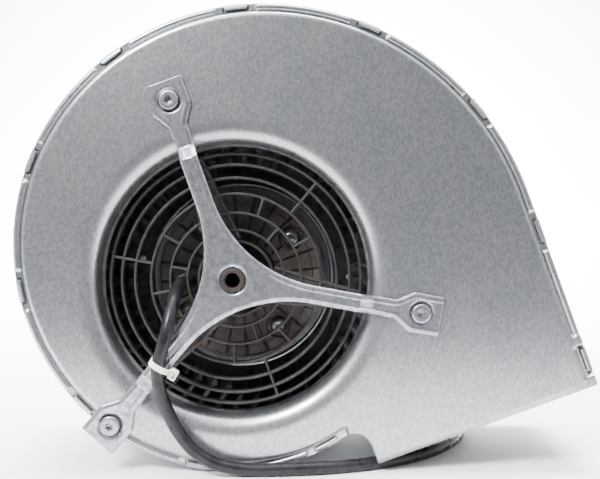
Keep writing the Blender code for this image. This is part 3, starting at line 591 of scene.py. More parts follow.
def supply_lead():
    line = [STAND @ point for point in lead_line()]
    curve = bpy.data.curves.new("supply_lead", "CURVE")
    curve.dimensions = "3D"
    curve.bevel_depth = CABLE_DIAMETER / 2 * MM
    curve.bevel_resolution = 6
    curve.use_fill_caps = True
    run = curve.splines.new("POLY")
    run.points.add(len(line) - 1)
    for point, spot in zip(run.points, line):
        point.co = (*spot, 1.0)
    run.use_smooth = True
    curve.materials.append(SHEATH)
    lead = bpy.data.objects.new("supply_lead", curve)
    bpy.context.scene.collection.objects.link(lead)
    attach(lead, "housing")
    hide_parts("supply_cable", "supply_cable_tail", "cable_coil")
    return lead, line


camera()
LEAD, LEAD_LINE = supply_lead()


# ---------------------------------------------------------------- stage


def stage():
    """A white floor that curves up into a backdrop, a lamp to the upper left and soft light all round."""
    shape = Shape()
    front, bend, curve = -0.32, 0.6, 0.9
    profile = [(front, 0.0), (bend, 0.0)]
    for i in range(1, 13):
        y, z = polar(curve, -90.0 + 90.0 * i / 12)
        profile.append((bend + y, curve + z))
    profile.append((bend + curve, 3.2))
    shape.grid([[(x, y, z) for y, z in profile] for x in (-3.2, 0.0, 3.2)])
    mesh = bpy.data.meshes.new("backdrop")
    mesh.from_pydata(shape.verts, [], shape.faces)
    mesh.shade_smooth()
    paper = Look("paper", (0.93, 0.93, 0.935), 0.75)
    mesh.materials.append(paper.material)
    floor = bpy.data.objects.new("backdrop", mesh)
    bpy.context.scene.collection.objects.link(floor)

    for name, place, target, size, power in (
        ("key_light", (-0.6, -0.8, 1.0), (0.0, 0.0, 0.1), 0.35, 8.0),
        ("top_light", (0.0, -0.2, 1.6), (0.0, 0.0, 0.1), 1.2, 4.0),
        ("back_light", (0.0, 0.7, 2.4), (0.0, 1.4, 0.4), 1.6, 260.0),
    ):
        light = bpy.data.lights.new(name, "AREA")
        light.size = size
        light.spread = math.radians(70.0)
        light.energy = power
        lamp = bpy.data.objects.new(name, light)
        lamp.location = place
        aim = Vector(target) - Vector(place)
        lamp.rotation_euler = aim.to_track_quat("-Z", "Y").to_euler()
        bpy.context.scene.collection.objects.link(lamp)

    world = bpy.data.worlds.new("studio")
    world.use_nodes = True
    nodes, links = world.node_tree.nodes, world.node_tree.links
    sky = nodes["Background"]
    sky.inputs["Color"].default_value = (0.95, 0.965, 1.0, 1.0)
    ways = nodes.new("ShaderNodeTexCoord")
    split = nodes.new("ShaderNodeSeparateXYZ")
    links.new(ways.outputs["Generated"], split.inputs[0])
    strength = nodes.new("ShaderNodeMath")
    strength.operation = "MULTIPLY"
    for socket, way, ends in ((0, "Y", (-0.87, -0.45, 0.17, 1.0)), (1, "Z", (0.1, 0.75, 1.05, 2.9))):
        shade = nodes.new("ShaderNodeMapRange")
        shade.interpolation_type = "SMOOTHSTEP"
        for key, number in zip(("From Min", "From Max", "To Min", "To Max"), ends):
            shade.inputs[key].default_value = number
        links.new(split.outputs[way], shade.inputs["Value"])
        links.new(shade.outputs["Result"], strength.inputs[socket])
    links.new(strength.outputs[0], sky.inputs["Strength"])
    bpy.context.scene.world = world


stage()


# ---------------------------------------------------------------- scroll outline


def scroll_radius(turn):
    """Radius of the band's outer face, turn degrees clockwise from straight down."""
    past = turn - RAMP_CENTRE
    ramp = (math.hypot(past, RAMP_WIDTH) + past) / 2
    swell = TONGUE_SWELL * (1.0 + math.cos(math.pi * share_of(turn, *SWELL_TURNS))) / 2
    return SCROLL_BASE + SCROLL_GROWTH * ramp - SCROLL_EASING * ramp**2 + swell


def tab_place(number):
    """How far along the band from its lip the middle of a tab is."""
    return TAB_FIRST + TAB_PITCH * number - TAB_LAG * math.sin(math.pi * number / (TABS - 1)) ** 2


def scroll_line(trim=0.0):
    """The band's outer face from its lip, round the scroll, to the end of the straight wall."""
    lip_x = TONGUE_X - TONGUE_FILLET
    lip_z = -math.sqrt((scroll_radius(SWELL_TURNS[0]) + TONGUE_FILLET) ** 2 - lip_x**2)
    line = [(TONGUE_X, -OUTLET_DROP + trim)]
    sweep = math.degrees(math.atan2(-lip_z, -lip_x))
    for i in range(25):
        x, z = polar(TONGUE_FILLET, sweep * i / 24)
        line.append((lip_x + x, lip_z + z))
    first = -math.degrees(math.atan2(lip_x, -lip_z))
    for i in range(1, 361):
        turn = first + (WALL_TURN - first) * i / 360
        line.append(polar(scroll_radius(turn), 270.0 - turn))
    line.append((line[-1][0], -OUTLET_DROP))
    return line


class Edge:
    """A line that can be walked along; it gives places at a distance in from it."""

    def __init__(self, line):
        self.points = np.array(line)
        steps = np.diff(self.points, axis=0)
        spans = np.hypot(steps[:, 0], steps[:, 1])
        self.length = np.concatenate(([0.0], np.cumsum(spans)))
        self.total = float(self.length[-1])

    def at(self, distance, reach=0.5):
        """The (x, z) there and the direction that points inwards, to the right of the line's own."""
        walk = (self.length, self.points[:, 0]), (self.length, self.points[:, 1])
        x, z = (float(np.interp(distance, *axis)) for axis in walk)
        low, high = max(distance - reach, 0.0), min(distance + reach, self.total)
        dx, dz = (float(np.interp(high, *axis) - np.interp(low, *axis)) for axis in walk)
        size = math.hypot(dx, dz)
        return (x, z), (dz / size, -dx / size)

    def inwards(self, distance, depth):
        (x, z), (nx, nz) = self.at(distance)
        return x + depth * nx, z + depth * nz


PLATE_EDGE = Edge(scroll_line())
BAND_EDGE = Edge(scroll_line(TONGUE_TRIM))


# ---------------------------------------------------------------- side plates

BEAD_SHORT = 10.8  # from the middle of a tab to the end of the bead beside it
BEAD_END = 1.8  # how far its rounded ends reach
BEAD_RISE = 1.3
RIM_STARTS = 26.0  # along the plate's edge; before this the plate is flat out to its edge
RIM_ENDS = 757.0
RIM_FADE = 2.6
TAB_PLACES = [tab_place(k) + TONGUE_TRIM for k in range(TABS)]  # along the plate's edge
RIM_DEPTHS = (0.25, 0.32, 0.5, 0.75, 1.05, 1.4, 1.8, 2.2, 2.6, 2.95, 3.25, 3.5, 3.7, 3.85, 4.0, 4.2, 4.4,
              4.55, 4.8, 5.2, 5.7, 6.2, 6.7, 7.2, 7.7, 8.3, 9.6)


def from_tab(distance):
    """How far that place is from the middle of the nearest tab."""
    return min(abs(distance - place) for place in TAB_PLACES)


def bead_share(distance):
    """How much of the bead's height there is, from 0 beside the tabs to 1 along the beads."""
    if not TAB_PLACES[0] < distance < TAB_PLACES[-1]:
        return 0.0
    return math.sqrt(ease(from_tab(distance), BEAD_SHORT, BEAD_SHORT + BEAD_END))


def rim_height(depth, distance):
    """Height of the plate's outer face over the mid-plane, that far in from its edge."""
    share = bead_share(distance)
    low = FLANGE_FACE - 0.5 * (1.0 - ease(depth, 0.25, 0.6)) * share
    low += BEAD_RISE * share * max(0.0, 1.0 - ((depth - 1.95) / 1.75) ** 2) ** 0.6
    low -= 0.25 * max(0.0, 1.0 - ((depth - 4.1) / 0.42) ** 2)
    trench = ease(TAB_LENGTH / 2 + 1.1 - from_tab(distance), 0.0, 0.5) * (1.0 - ease(depth, 3.0, 3.4))
    low -= 1.1 * trench
    low += (PLATE_FACE - FLANGE_FACE) * math.sqrt(1.0 - (1.0 - share_of(depth, 4.4, 7.7)) ** 2.2)
    flat = PLATE_FACE - 0.9 * (1.0 - ease(depth, 0.25, 1.2)) ** 2
    inside_rim = ease(distance, RIM_STARTS - RIM_FADE, RIM_STARTS)
    inside_rim -= ease(distance, RIM_ENDS, RIM_ENDS + RIM_FADE)
    pocket = ease(TAB_LENGTH / 2 + 3.2 - abs(distance - TAB_PLACES[-1]), 0.0, 2.2)
    return flat + (min(low, PLATE_FACE) - flat) * max(inside_rim, pocket)


def rim_stations():
    """Distances along the plate's edge, closer together where beads and steps begin and end."""
    marks = set(np.arange(0.0, PLATE_EDGE.total, 3.6))
    events = [RIM_STARTS, RIM_STARTS - RIM_FADE, RIM_ENDS, RIM_ENDS + RIM_FADE]
    for place in TAB_PLACES:
        for reach in (TAB_LENGTH / 2 + 0.85, BEAD_SHORT + BEAD_END / 2):
            events += [place - reach, place + reach]
    events += [TAB_PLACES[-1] - TAB_LENGTH / 2 - 2.1, TAB_PLACES[-1] + TAB_LENGTH / 2 + 2.1]
    steps = (0.0, 0.25, 0.6, 1.0, 1.5, 2.2)
    for event in events:
        marks.update(event + sign * step for step in steps for sign in (-1.0, 1.0))
    marks.update(np.arange(16.0, 36.0, 1.2))
    marks = sorted(mark for mark in marks if 0.0 <= mark < PLATE_EDGE.total - 0.3)
    kept = [marks[0]]
    for mark in marks[1:]:
        if mark - kept[-1] > 0.2:
            kept.append(mark)
    return [*kept, PLATE_EDGE.total]


def plate_rim(shape, side):
    """The stepped rim; returns the places of its inner edge."""
    rows = []
    for distance in rim_stations():
        (x, z), (nx, nz) = PLATE_EDGE.at(distance)
        row = []
        for depth in RIM_DEPTHS:
            row.append((x + depth * nx, side * rim_height(depth, distance), z + depth * nz))
        rows.append(row)
    shape.grid(rows)
    return [(row[-1][0], row[-1][2]) for row in rows]


def inlet_plate():
    """The plate with its rolled mouth and the throat behind it."""
    shape = Shape()
    border = plate_rim(shape, -1.0)
    steps = 168
    hole = MOUTH_OUTER + 2.5
    shape.fill([border, circle(hole, steps)], lambda x, z: -PLATE_FACE)
    profile = [(hole, -PLATE_FACE), (MOUTH_OUTER + 1.2, -PLATE_FACE)]
    reach, depth = MOUTH_ROLL
    for i in range(17):
        inwards, forwards = polar(1.0, 90.0 - 90.0 * i / 16)
        profile.append((MOUTH_OUTER - reach * inwards, depth * (1.0 - forwards) - PLATE_FACE))
    profile.append((THROAT, -35.0))
    shape.turn(profile, steps, closed=False)
    piece("inlet_side_plate", shape, GALVANISED, "housing", ["inlet_plate"],
          facing=FRONT, thickness=1.0, crease=50.0)


def rear_plate():
    shape = Shape()
    border = plate_rim(shape, 1.0)
    shape.fill([border], lambda x, z: PLATE_FACE)
    piece("rear_side_plate", shape, GALVANISED, "housing", ["rear_plate"],
          facing=BACK, thickness=1.0, crease=50.0)


# ---------------------------------------------------------------- band


def tab(shape, middle, side):
    """A tab bent over from the band's edge on to the rim, its corners rounded."""
    half = TAB_LENGTH / 2
    path = ((-0.02, 45.6, 0.0), (-0.35, 47.0, 0.0), (-0.4, 47.6, 0.0), (-0.25, 47.95, 0.0),
            (0.1, 48.2, 0.0), (0.6, 48.42, 0.0), (1.1, 48.63, 0.0), (1.6, 48.84, 0.0),
            (2.0, 48.95, 0.05), (2.4, 48.9, 0.15), (2.65, 48.65, 0.35), (2.72, 48.1, 0.5))
    rows = []
    for i in range(13):
        share = -1.0 + 2.0 * i / 12
        row = []
        for depth, height, trim in path:
            row.append((middle + share * (half - trim), depth, height))
        rows.append(row)
    outer = [[to_rim(*spot, side) for spot in row] for row in rows]
    inner = [[to_rim(s, d + (0.62 if d < 0.0 else 0.0), h - (0.8 if h > 48.0 else 0.3), side)
              for s, d, h in row] for row in rows]
    shape.grid(outer)
    shape.grid(inner)
    for end in (0, -1):
        shape.grid([outer[end], inner[end]])
        shape.grid([[row[end] for row in outer], [row[end] for row in inner]])


def to_rim(distance, depth, height, side):
    x, z = BAND_EDGE.inwards(distance, depth)
    return x, side * height, z


def scroll_band():
    """The band: a thin strip with rounded edges, which the beads lap over, and its tabs."""
    shape = Shape()
    top, inner_face = BAND_HALF - 0.8, BAND_SHEET
    section = [(0.0, top - 0.25), (0.12, top - 0.06), (0.3, top), (0.5, top), (0.68, top - 0.06),
               (inner_face, top - 0.25)]
    section += [(depth, -height) for depth, height in section[::-1]]
    count = 300
    rows = []
    for i in range(count + 1):
        distance = BAND_EDGE.total * i / count
        row = []
        for depth, height in section:
            x, z = BAND_EDGE.inwards(distance, depth)
            row.append((x, height, z))
        rows.append(row)
    shape.tube(rows)
    for side in (-1.0, 1.0):
        for k in range(TABS):
            tab(shape, tab_place(k), side)
    piece("scroll_band_sheet", shape, GALVANISED, "housing", ["scroll_band"])


inlet_plate()
rear_plate()
scroll_band()


# ---------------------------------------------------------------- bracket

BRACKET_SHEET = 1.8
LIP_WIDTH = 1.9  # of the turned-down border
LIP_DROP = 1.3
HUB_REACH = 21.0  # where the hub's fan of rays hands over to the arms' rows
HUB_BORE = 6.7


def bracket_fillet():
    """Radius of the fillet between two arms, and how far out its centre is."""
    half = math.sin(math.radians(60.0))
    radius = (HUB_WAIST * half - ARM_HALF) / (1.0 - half)
    return radius, radius + HUB_WAIST


def arm_width(out):
    """Half the width of an arm that far out from the axis."""
    radius, reach = bracket_fillet()
    centre = reach * math.cos(math.radians(60.0)), reach * math.sin(math.radians(60.0))
    if out < centre[0]:
        return centre[1] - math.sqrt(radius**2 - (out - centre[0]) ** 2)
    before, after = PAD_HALF
    if out < PAD_SHOULDER[0]:
        return ARM_HALF + (before - ARM_HALF) * ease(out, JOGGLE[1], PAD_SHOULDER[0])
    return before + (after - before) * share_of(out, *PAD_SHOULDER)


def bracket_border():
    """Points close together along both sides of an arm, from the waist to the end."""
    outs = np.concatenate((np.linspace(HUB_WAIST / 2, PAD_SHOULDER[0], 150), np.linspace(*PAD_SHOULDER, 30),
                           np.linspace(PAD_SHOULDER[1], PAD_END + 1.2, 36)))
    upper = [(out, arm_width(out)) for out in outs]
    return np.array(upper + [(out, -across) for out, across in upper])


ARM_BORDER = bracket_border()


def bracket_front(out, across):
    """The front face's y at a point of an arm, whose sides are turned down."""
    gap = float(np.min(np.hypot(ARM_BORDER[:, 0] - out, ARM_BORDER[:, 1] - across)))
    slope = 0.8 * share_of(out, *JOGGLE) + 0.2 * ease(out, *JOGGLE)
    y = BRACKET_FRONT + (PAD_FRONT - BRACKET_FRONT) * slope
    if gap < LIP_WIDTH:
        y += LIP_DROP * (1.0 - math.sqrt(1.0 - (1.0 - gap / LIP_WIDTH) ** 2))
    y -= 0.2 * max(0.0, 1.0 - ((gap - LIP_WIDTH - 0.6) / 0.8) ** 2)
    from_screw = math.hypot(out - SCREW_CIRCLE, across)
    y += 0.9 * (1.0 - share_of(from_screw, 5.8, 7.2)) + 0.6 * (1.0 - ease(from_screw, 5.3, 5.8))
    from_axis = math.hypot(out, across)
    y += 0.6 * (1.0 - ease(from_axis, 6.9, 8.4))
    return y


def arm_rows():
    """Distances out from the axis for the rows of an arm."""
    arm = np.linspace(HUB_REACH, JOGGLE[0] - 0.4, 26)
    joggle = [*np.linspace(*JOGGLE, 10), JOGGLE[1] + 0.4, 78.0, 81.0, 84.0, 86.5]
    pad = [PAD_SHOULDER[0], 89.5, 91.5, 93.0, *np.arange(94.2, 110.5, 0.5), 111.2, 112.0, 112.5, PAD_END]
    return [*arm, *joggle, *pad]


def ray_limit(ray):
    """How far a ray from the axis runs before it meets the fillet or the first row of the arm."""
    radius, reach = bracket_fillet()
    straight = HUB_REACH / math.cos(math.radians(ray))
    off = 60.0 - ray
    gap = reach * math.sin(math.radians(off))
    if gap >= radius:
        return straight
    return min(straight, reach * math.cos(math.radians(off)) - math.sqrt(radius**2 - gap**2))


def hub_rows(columns):
    """Rows of (out, across) on rays from the bore to the fillets and to an arm's first row."""
    shares = (0.0, 0.04, 0.09, 0.15, 0.25, 0.4, 0.55, 0.68, 0.78, 0.85, 0.9, 0.94, 0.975, 1.0)
    rim = [math.degrees(math.atan2(share * arm_width(HUB_REACH), HUB_REACH)) for share in columns]
    edge = list(np.linspace(-60.0, rim[0], 12))[:-1]
    rows = []
    for ray in edge + rim + [-value for value in edge[::-1]]:
        limit = ray_limit(abs(ray))
        rows.append([polar(HUB_BORE + (limit - HUB_BORE) * share, ray) for share in shares])
    return rows


def bracket_point(angle, out, across):
    """A point on the front face of the arm at an angle."""
    x, z = along(angle, out, across)
    return x, bracket_front(out, across), z


def motor_bracket():
    """Three arms from a hub, with their sides turned down and a recess round each screw."""
    shape = Shape()
    half = [1.0, 0.985, 0.955, 0.915, 0.87, 0.82, *np.arange(0.77, 0.03, -0.055)]
    columns = [-share for share in half] + [0.0] + half[::-1]
    arm = [[(out, share * arm_width(out)) for share in columns] for out in arm_rows()]
    for angle in ARM_ANGLES:
        for rows in (arm, hub_rows(columns)):
            shape.grid([[bracket_point(angle, *spot) for spot in row] for row in rows])
    piece("three_arm_bracket", shape, ZINC, "housing", ["motor_bracket"],
          facing=FRONT, thickness=BRACKET_SHEET - 0.3, crease=45.0)


motor_bracket()


# ---------------------------------------------------------------- fasteners and bush


MOTOR_SCREW_PLACES = [polar(MOTOR_SCREW_CIRCLE, MOTOR_SCREW_START + 90.0 * k) for k in range(4)]


def star(angle, radius):
    """Radius of a six-lobed socket at an angle in degrees."""
    return radius * (1.0 + 0.17 * math.cos(math.radians(6.0 * angle)))


def socket_screw(name, node, centre, profile, socket, depth, shank):
    """A pan head with a star socket; profile runs from the socket's edge outwards and back."""
    angles = [5.0 * i for i in range(72)]
    front = profile[0][1]

    def spot(radius, y, angle):
        x, z = polar(radius, angle)
        return centre[0] + x, y, centre[1] + z

    rows = []
    for share, sunk in ((0.02, 1.0), (0.5, 0.94), (0.85, 0.85), (0.95, 0.7), (1.0, 0.06), (1.03, 0.0)):
        rows.append([spot(share * star(angle, socket), front + sunk * depth, angle) for angle in angles])
    for radius, y in [*profile[1:], *shank]:
        rows.append([spot(radius, y, angle) for angle in angles])
    shape = Shape()
    shape.grid(rows, close_columns=True)
    piece(name, shape, ZINC, "housing", [node], crease=38.0)


def bracket_screws():
    under = PAD_FRONT + 0.5
    profile = [(2.3, -53.75), (2.6, -53.85), (3.0, -53.86), (3.9, -53.84), (4.6, -53.78), (4.95, -53.6),
               (5.15, -53.3), (5.25, -52.9), (5.25, -51.95), (5.2, under - 0.1)]
    shank = [(2.4, under - 0.1), (2.4, -45.0), (1.6, -43.2), (0.02, -42.8)]
    for number, angle in enumerate(ARM_ANGLES, 1):
        socket_screw(f"bracket_star_screw_{number}", f"bracket_screw_{number}", polar(SCREW_CIRCLE, angle),
                     profile, 1.9, 2.4, shank)


def motor_screws():
    under = FLANGE_FRONT - 0.25
    profile = [(2.1, -3.7), (2.5, -3.8), (3.2, -3.65), (3.8, -3.2), (4.2, -2.6), (4.3, -1.9), (4.3, under)]
    shank = [(1.9, under), (1.9, 3.1), (0.02, 3.2)]
    for number, place in enumerate(MOTOR_SCREW_PLACES, 1):
        socket_screw(f"motor_star_screw_{number}", f"motor_screw_{number}", place, profile, 1.7, 2.4, shank)


def hub_bush():
    """The bush, with rounded edges and a slightly coned mouth."""
    shape = Shape()
    shape.turn([(3.9, -57.4), (4.0, -57.9), (4.25, -58.15), (4.7, -58.28), (5.6, -58.28), (6.2, -58.18),
                (6.45, -57.9), (6.5, -57.4), (6.5, -55.5), (9.4, -55.5), (9.4, -52.1), (3.9, -52.1)], 64)
    piece("bracket_bush", shape, BUSH, "housing", ["hub_bush"])


bracket_screws()
motor_screws()
hub_bush()


# ---------------------------------------------------------------- guard


def guard_bar(shape, angle, inner, outer, section_at):
    """A bar that runs straight out between two radii; its section of (across, y) points may change."""
    rows = []
    for out in np.linspace(inner, outer, 2 + round((outer - inner) / 4.0)):
        spots = [(along(angle, out, across), y) for across, y in section_at(out)]
        rows.append([(x, y, z) for (x, z), y in spots])
    shape.tube(rows)


def arm_section(radius):
    """An arm of the guard at that radius: a sunken web between two rounded borders."""
    share = (radius - GUARD_RINGS[0]) / (GUARD_RINGS[-1] - GUARD_RINGS[0])
    half = GUARD_ARM_HALF[0] + share * (GUARD_ARM_HALF[1] - GUARD_ARM_HALF[0])
    return mirrored([(half, GUARD_BACK), (half, -36.5), (half - 0.15, -36.85), (half - 0.5, GUARD_FRONT),
                     (half - 1.0, GUARD_FRONT), (half - 1.35, -36.85), (half - 1.5, -36.5),
                     (half - 1.5, -35.6), (half - 1.8, -35.3)])


RIB_SECTION = mirrored([(GUARD_RIB_HALF, GUARD_BACK), (GUARD_RIB_HALF, -36.5),
                        (GUARD_RIB_HALF - 0.12, -36.8), (GUARD_RIB_HALF - 0.35, -36.95)])


def inlet_guard():
    """Six rings on three arms with short ribs, all with rounded edges, and a tube in the middle."""
    shape = Shape()
    middle = (GUARD_FRONT + GUARD_BACK) / 2
    for radius in GUARD_RINGS:
        section = rounded(2.0 * GUARD_RING_HALF, GUARD_BACK - GUARD_FRONT, 0.55, 4)
        shape.turn([(radius + across, middle + y) for across, y in section], 132)
    for angle in ARM_ANGLES:
        guard_bar(shape, angle, GUARD_TUBE[1] - 1.2, GUARD_RINGS[-1], arm_section)
        for inner, outer, offsets in zip(GUARD_RINGS, GUARD_RINGS[1:], GUARD_RIB_OFFSETS):
            for offset in offsets:
                guard_bar(shape, angle + 60.0 + offset, inner, outer, lambda radius: RIB_SECTION)
    inner, outer = GUARD_TUBE
    shape.turn([(inner, -36.6), (inner + 0.3, -36.95), (outer - 0.3, -36.95), (outer, -36.6),
                (outer, -1.4), (8.7, -1.4), (8.7, -3.2), (inner - 0.5, -3.2), (inner, -3.8)], 96)
    piece("moulded_guard", shape, GUARD, "housing", ["inlet_guard"])


inlet_guard()


# ---------------------------------------------------------------- motor, fixed side

FLANGE_BLOCKS = 24


def flange_face(radius, angle):
    """The cast face's y: blocks parted by narrow radial grooves, an outer step and screw pockets."""
    y = FLANGE_FRONT
    pitch = 360.0 / FLANGE_BLOCKS
    off = (angle / pitch) % 1.0 - 0.5
    across = abs(0.5 - abs(off)) * pitch * math.pi / 180.0 * radius
    if 22.5 < radius < 48.4:
        y += 1.5 * (1.0 - ease(across, 0.35, 0.75))
    y += 0.9 * ease(radius, 43.0, 43.6) - 0.9 * ease(radius, 48.2, 48.8)
    x, z = polar(radius, angle)
    for screw_x, screw_z in MOTOR_SCREW_PLACES:
        gap = math.hypot(x - screw_x, z - screw_z)
        if gap < 5.0:
            return FLANGE_FRONT + 0.02
        y += (FLANGE_FRONT + 2.2 - y) * (1.0 - ease(gap, 6.9, 7.4))
    return y


def motor_flange():
    shape = Shape()
    radii = [22.2, 22.6, 24.0, 26.0, 28.0, *np.arange(29.5, 43.0, 0.75), 43.0, 43.3, 43.6, 44.5, 45.5, 46.5,
             47.5, 48.2, 48.5, 48.8, 49.4, 49.9, 50.0]
    steps = 480
    rows = []
    for radius in radii:
        ring = []
        for i in range(steps):
            angle = 360.0 * i / steps
            x, z = polar(radius, angle)
            lift = 0.4 * ease(radius, 49.2, 50.0)
            ring.append((x, flange_face(radius, angle) + lift, z))
        rows.append(ring)
    shape.grid(rows, close_columns=True)
    shape.turn([(22.2, FLANGE_FRONT), (8.0, FLANGE_FRONT), (8.0, -50.9), (7.6, -51.6), (4.4, -51.7),
                (3.9, -51.2), (3.9, 4.3), (11.3, 4.4), (11.3, 30.4), (13.3, 30.5), (13.4, 3.6), (49.6, 3.5),
                (50.0, 3.1), (50.0, FLANGE_FRONT + 0.4)], 480, closed=False)
    piece("cast_motor_flange", shape, CAST, "housing", ["motor_flange"], crease=38.0)


motor_flange()


# ---------------------------------------------------------------- rotor


def rotor_can():
    """The drawn can: rolled lip, two faint draw rings on its wall and a rounded end."""
    shape = Shape()
    shape.turn([(54.6, 5.8), (54.9, 5.5), (55.6, 5.5), (56.0, 5.9), (56.0, 11.0), (55.8, 11.4), (55.8, 12.4),
                (56.0, 12.8), (56.0, 27.0), (55.8, 27.4), (55.8, 28.2), (56.0, 28.6), (56.0, 32.4),
                (55.7, 33.4), (55.0, 34.2), (54.0, 34.5), (36.0, 34.5), (35.4, 34.2), (22.0, 34.2),
                (21.4, 34.5), (4.4, 34.5), (4.4, 31.8), (8.0, 31.8), (8.0, 33.0), (53.2, 33.0), (54.3, 32.2),
                (54.6, 31.0)], 128)
    piece("drawn_rotor_can", shape, DRAWN, "rotor", ["rotor_can"])


def blade(shape, number):
    """One forward-curved blade with a rounded inner edge, leaning clockwise towards its tip."""
    middle = 360.0 * number / BLADES
    near, far = [], []
    for i in range(9):
        share = i / 8
        radius = BLADE_INNER + 0.1 + share * (BLADE_OUTER - BLADE_INNER)
        angle = middle - BLADE_SWEEP * share**1.7
        thick = 0.62 * (0.45 + 1.1 * min(share * 3.0, 1.0) ** 0.5) * (1.0 - 0.25 * share)
        half = math.degrees(thick / radius)
        near.append(polar(radius, angle - half))
        far.append(polar(radius, angle + half))
    x, z = polar(BLADE_INNER - 0.15, middle)
    outline = [(x, z), *near, *far[::-1]]
    rows = [[(px, y, pz) for px, pz in outline] for y in (-32.0, -12.0, 12.0, 36.0)]
    shape.tube(rows)
    tip, left, right = polar(66.0, middle), polar(75.0, middle - 1.5), polar(75.0, middle + 1.5)
    shape.tube([[(x, y, z) for (x, z), y in ((tip, low), (left, high), (right, high))]
                for low, high in ((34.4, 27.5), (36.0, 36.0))])


def impeller():
    """Back disc with a hub ring and ribs, the blades, and the ring that ties their front ends."""
    shape = Shape()
    steps = BLADES * 4
    shape.turn([(12.2, 34.9), (87.2, 34.9), (87.7, 35.3), (87.7, 36.6), (87.2, 37.0), (16.5, 37.0),
                (16.0, 36.6), (12.2, 36.6)], steps)
    shape.turn([(73.7, -32.0), (74.2, -32.45), (87.2, -32.45), (87.75, -32.0), (87.75, -30.9), (87.2, -30.5),
                (74.2, -30.5), (73.7, -31.0)], steps)
    for number in range(BLADES):
        blade(shape, number)
    piece("moulded_impeller", shape, IMPELLER, "rotor", ["impeller"], crease=42.0)


rotor_can()
impeller()


# ---------------------------------------------------------------- cable pieces


def cable_gland():
    """The tapered strain relief: a flange, then a ribbed neck that narrows to the cable."""
    shape = Shape()
    foot = FLANGE_FRONT - 0.3
    profile = [(0.02, foot), (7.3, foot), (7.5, foot - 0.3), (7.5, foot - 2.6), (7.2, foot - 3.0),
               (5.8, foot - 3.2)]
    ribs = 7
    start, end = foot - 3.4, GLAND_TIP + 0.6
    for k in range(ribs):
        low = start + (end - start) * k / ribs
        span = (end - start) / ribs
        radius = 5.75 - 1.5 * (k + 0.5) / ribs
        profile += [(radius - 0.55, low), (radius - 0.5, low + 0.2 * span), (radius, low + 0.34 * span),
                    (radius, low + 0.78 * span), (radius - 0.5, low + 0.93 * span)]
    profile += [(4.15, end), (4.15, GLAND_TIP + 0.1), (3.9, GLAND_TIP), (3.5, GLAND_TIP), (0.02, GLAND_TIP)]
    shape.turn(profile, 40, polar(*GLAND_PLACE), closed=False)
    piece("cable_strain_relief", shape, RUBBER, "housing", ["cable_gland"])


def cable_tie():
    """The tie round the cable and the bracket's arm, with its head to one side."""
    place = STAND @ Matrix.Translation((-76.1, 0.0, 59.0)) @ Matrix.Rotation(math.radians(29.5), 4, "Y")
    shape = Shape()
    outline = mirrored([(1.5, -55.1), (5.5, -55.2), (6.05, -56.6), (5.95, -59.0), (5.35, -62.4),
                        (3.9, -65.0), (1.8, -66.15)])
    corners = [Vector((across, y, 0.0)) for across, y in outline[-2:] + outline[:-2]]
    path = spline([*corners, corners[0]], 5)[:-1]
    shape.sweep(path, rounded(0.95, 3.0, 0.3, 2), (0.0, 0.0, 1.0))
    piece("nylon_cable_tie", shape, NYLON, "housing", ["cable_tie"], place=place)

    head = Shape()
    outline = rounded(4.4, 5.6, 0.8, 3)
    rows = []
    middle = 8.1
    for y, inset in ((-63.6, 0.35), (-63.3, 0.1), (-62.9, 0.0), (-59.5, 0.0), (-59.0, 0.1), (-58.7, 0.35)):
        rows.append([(middle + s * (1.0 - inset / 2.2), y, t * (1.0 - inset / 2.8)) for s, t in outline])
    head.cap(head.grid(rows, close_columns=True)[-1])
    mouth = [[(middle + s * k, y, t * k) for s, t in rounded(3.1, 3.6, 0.3, 3)]
             for k, y in ((1.0, -63.6), (0.97, -63.2), (0.95, -61.5))]
    head.grid([rows[0], mouth[0]], close_columns=True)
    head.cap(head.grid(mouth, close_columns=True)[-1])
    head.block((7.0, -64.1, -1.3), (7.8, -59.5, 1.3))
    piece("cable_tie_head", head, NYLON, "housing", place=place)


def coil_tie():
    """A strap round the two layers of the coil."""
    x, y = polar(COIL_RADIUS, 150.0)
    place = STAND @ Matrix.Translation((COIL_CENTRE[0] + x, COIL_CENTRE[1] + y, 0.0))
    place = place @ Matrix.Rotation(math.radians(150.0), 4, "Z")
    shape = Shape()
    path = [(s, 0.0, 8.0 + t) for s, t in rounded(8.2, 15.0, 3.4, 6)]
    shape.sweep(path, rounded(0.7, 2.8, 0.2, 2), (0.0, 1.0, 0.0))
    piece("coil_strap", shape, NYLON, "housing", ["coil_tie"], place=place)


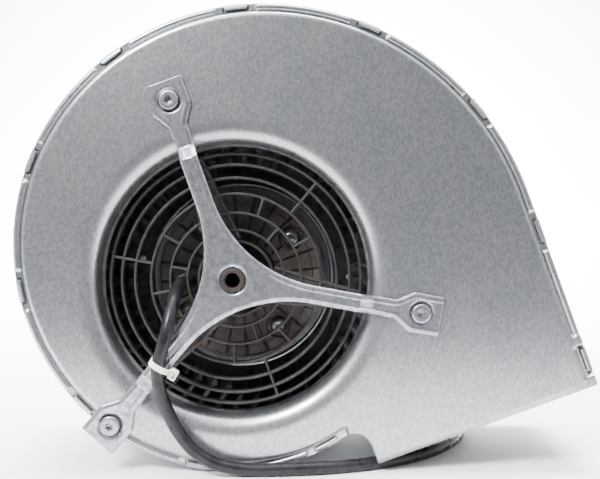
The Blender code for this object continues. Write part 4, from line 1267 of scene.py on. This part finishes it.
def connector():
    """A small three-way housing with a latch and open contact chambers."""
    low, high = (Vector(corner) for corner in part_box("cable_connector"))
    place = Matrix.Scale(MM, 4)
    low, high = low / MM, high / MM
    middle_y, middle_z = (low.y + high.y) / 2, (low.z + high.z) / 2
    shape = Shape()

    def ring(x, width, height, radius=1.0):
        return [(x, middle_y + s, middle_z + t) for s, t in rounded(width, height, radius, 3)]

    width, height = high.y - low.y - 0.2, high.z - low.z - 0.2
    rows = [ring(low.x, 7.6, 7.6, 3.7), ring(low.x + 2.4, 8.0, 8.0, 3.7),
            ring(low.x + 3.0, width - 3.0, height - 1.4), ring(low.x + 3.3, width - 0.6, height - 0.4),
            ring(low.x + 4.0, width, height), ring(high.x - 8.0, width, height)]
    for back, inset in ((7.6, 0.9), (0.4, 0.9), (0.05, 1.4)):
        rows.append(ring(high.x - back, width - inset, height - inset))
    numbers = shape.grid(rows, close_columns=True)
    shape.cap(numbers[0])
    chamber = [ring(high.x - back, width - inset, height - inset - 0.6, 0.5)
               for back, inset in ((0.05, 3.0), (7.0, 3.2))]
    shape.grid([rows[-1], chamber[0]], close_columns=True)
    floor = shape.grid(chamber, close_columns=True)
    shape.cap(floor[-1])
    for wall in (middle_y - 1.7, middle_y + 1.7):
        shape.block((high.x - 6.9, wall - 0.3, low.z + 2.0), (high.x - 0.3, wall + 0.3, high.z - 2.0))
    shape.block((low.x + 6.0, middle_y - 1.8, high.z - 0.6), (high.x - 2.0, middle_y + 1.8, high.z - 0.05))
    piece("lead_connector", shape, NYLON, "housing", ["cable_connector"], place=place,
          bevel=0.15)


cable_gland()
cable_tie()
coil_tie()
connector()


# ---------------------------------------------------------------- CAD nodes that keep their shape


def dress(look, slot, *names):
    """A CAD node whose shape is right gets a better material."""
    for name in names:
        node = frame["nodes"][name]
        node.data.materials.clear()
        node.data.materials.append(look)
        node.data.shade_smooth()


dress(LAMINATION, "lamination_steel", "stator_core", "rotor_cage")
dress(COPPER, "copper_winding", "stator_winding_front", "stator_winding_rear")
dress(DRAWN, "bright_steel", "rotor_shaft", "retaining_ring")
for bearing_part in ("outer_race", "inner_race", "ball_cage"):
    dress(DRAWN, "bright_steel", f"bearing_{bearing_part}_front", f"bearing_{bearing_part}_rear")
dress(BRIGHT, "bright_steel", "impeller_rivet_1", "impeller_rivet_2", "impeller_rivet_3", "balance_pin_1",
      "balance_pin_2")
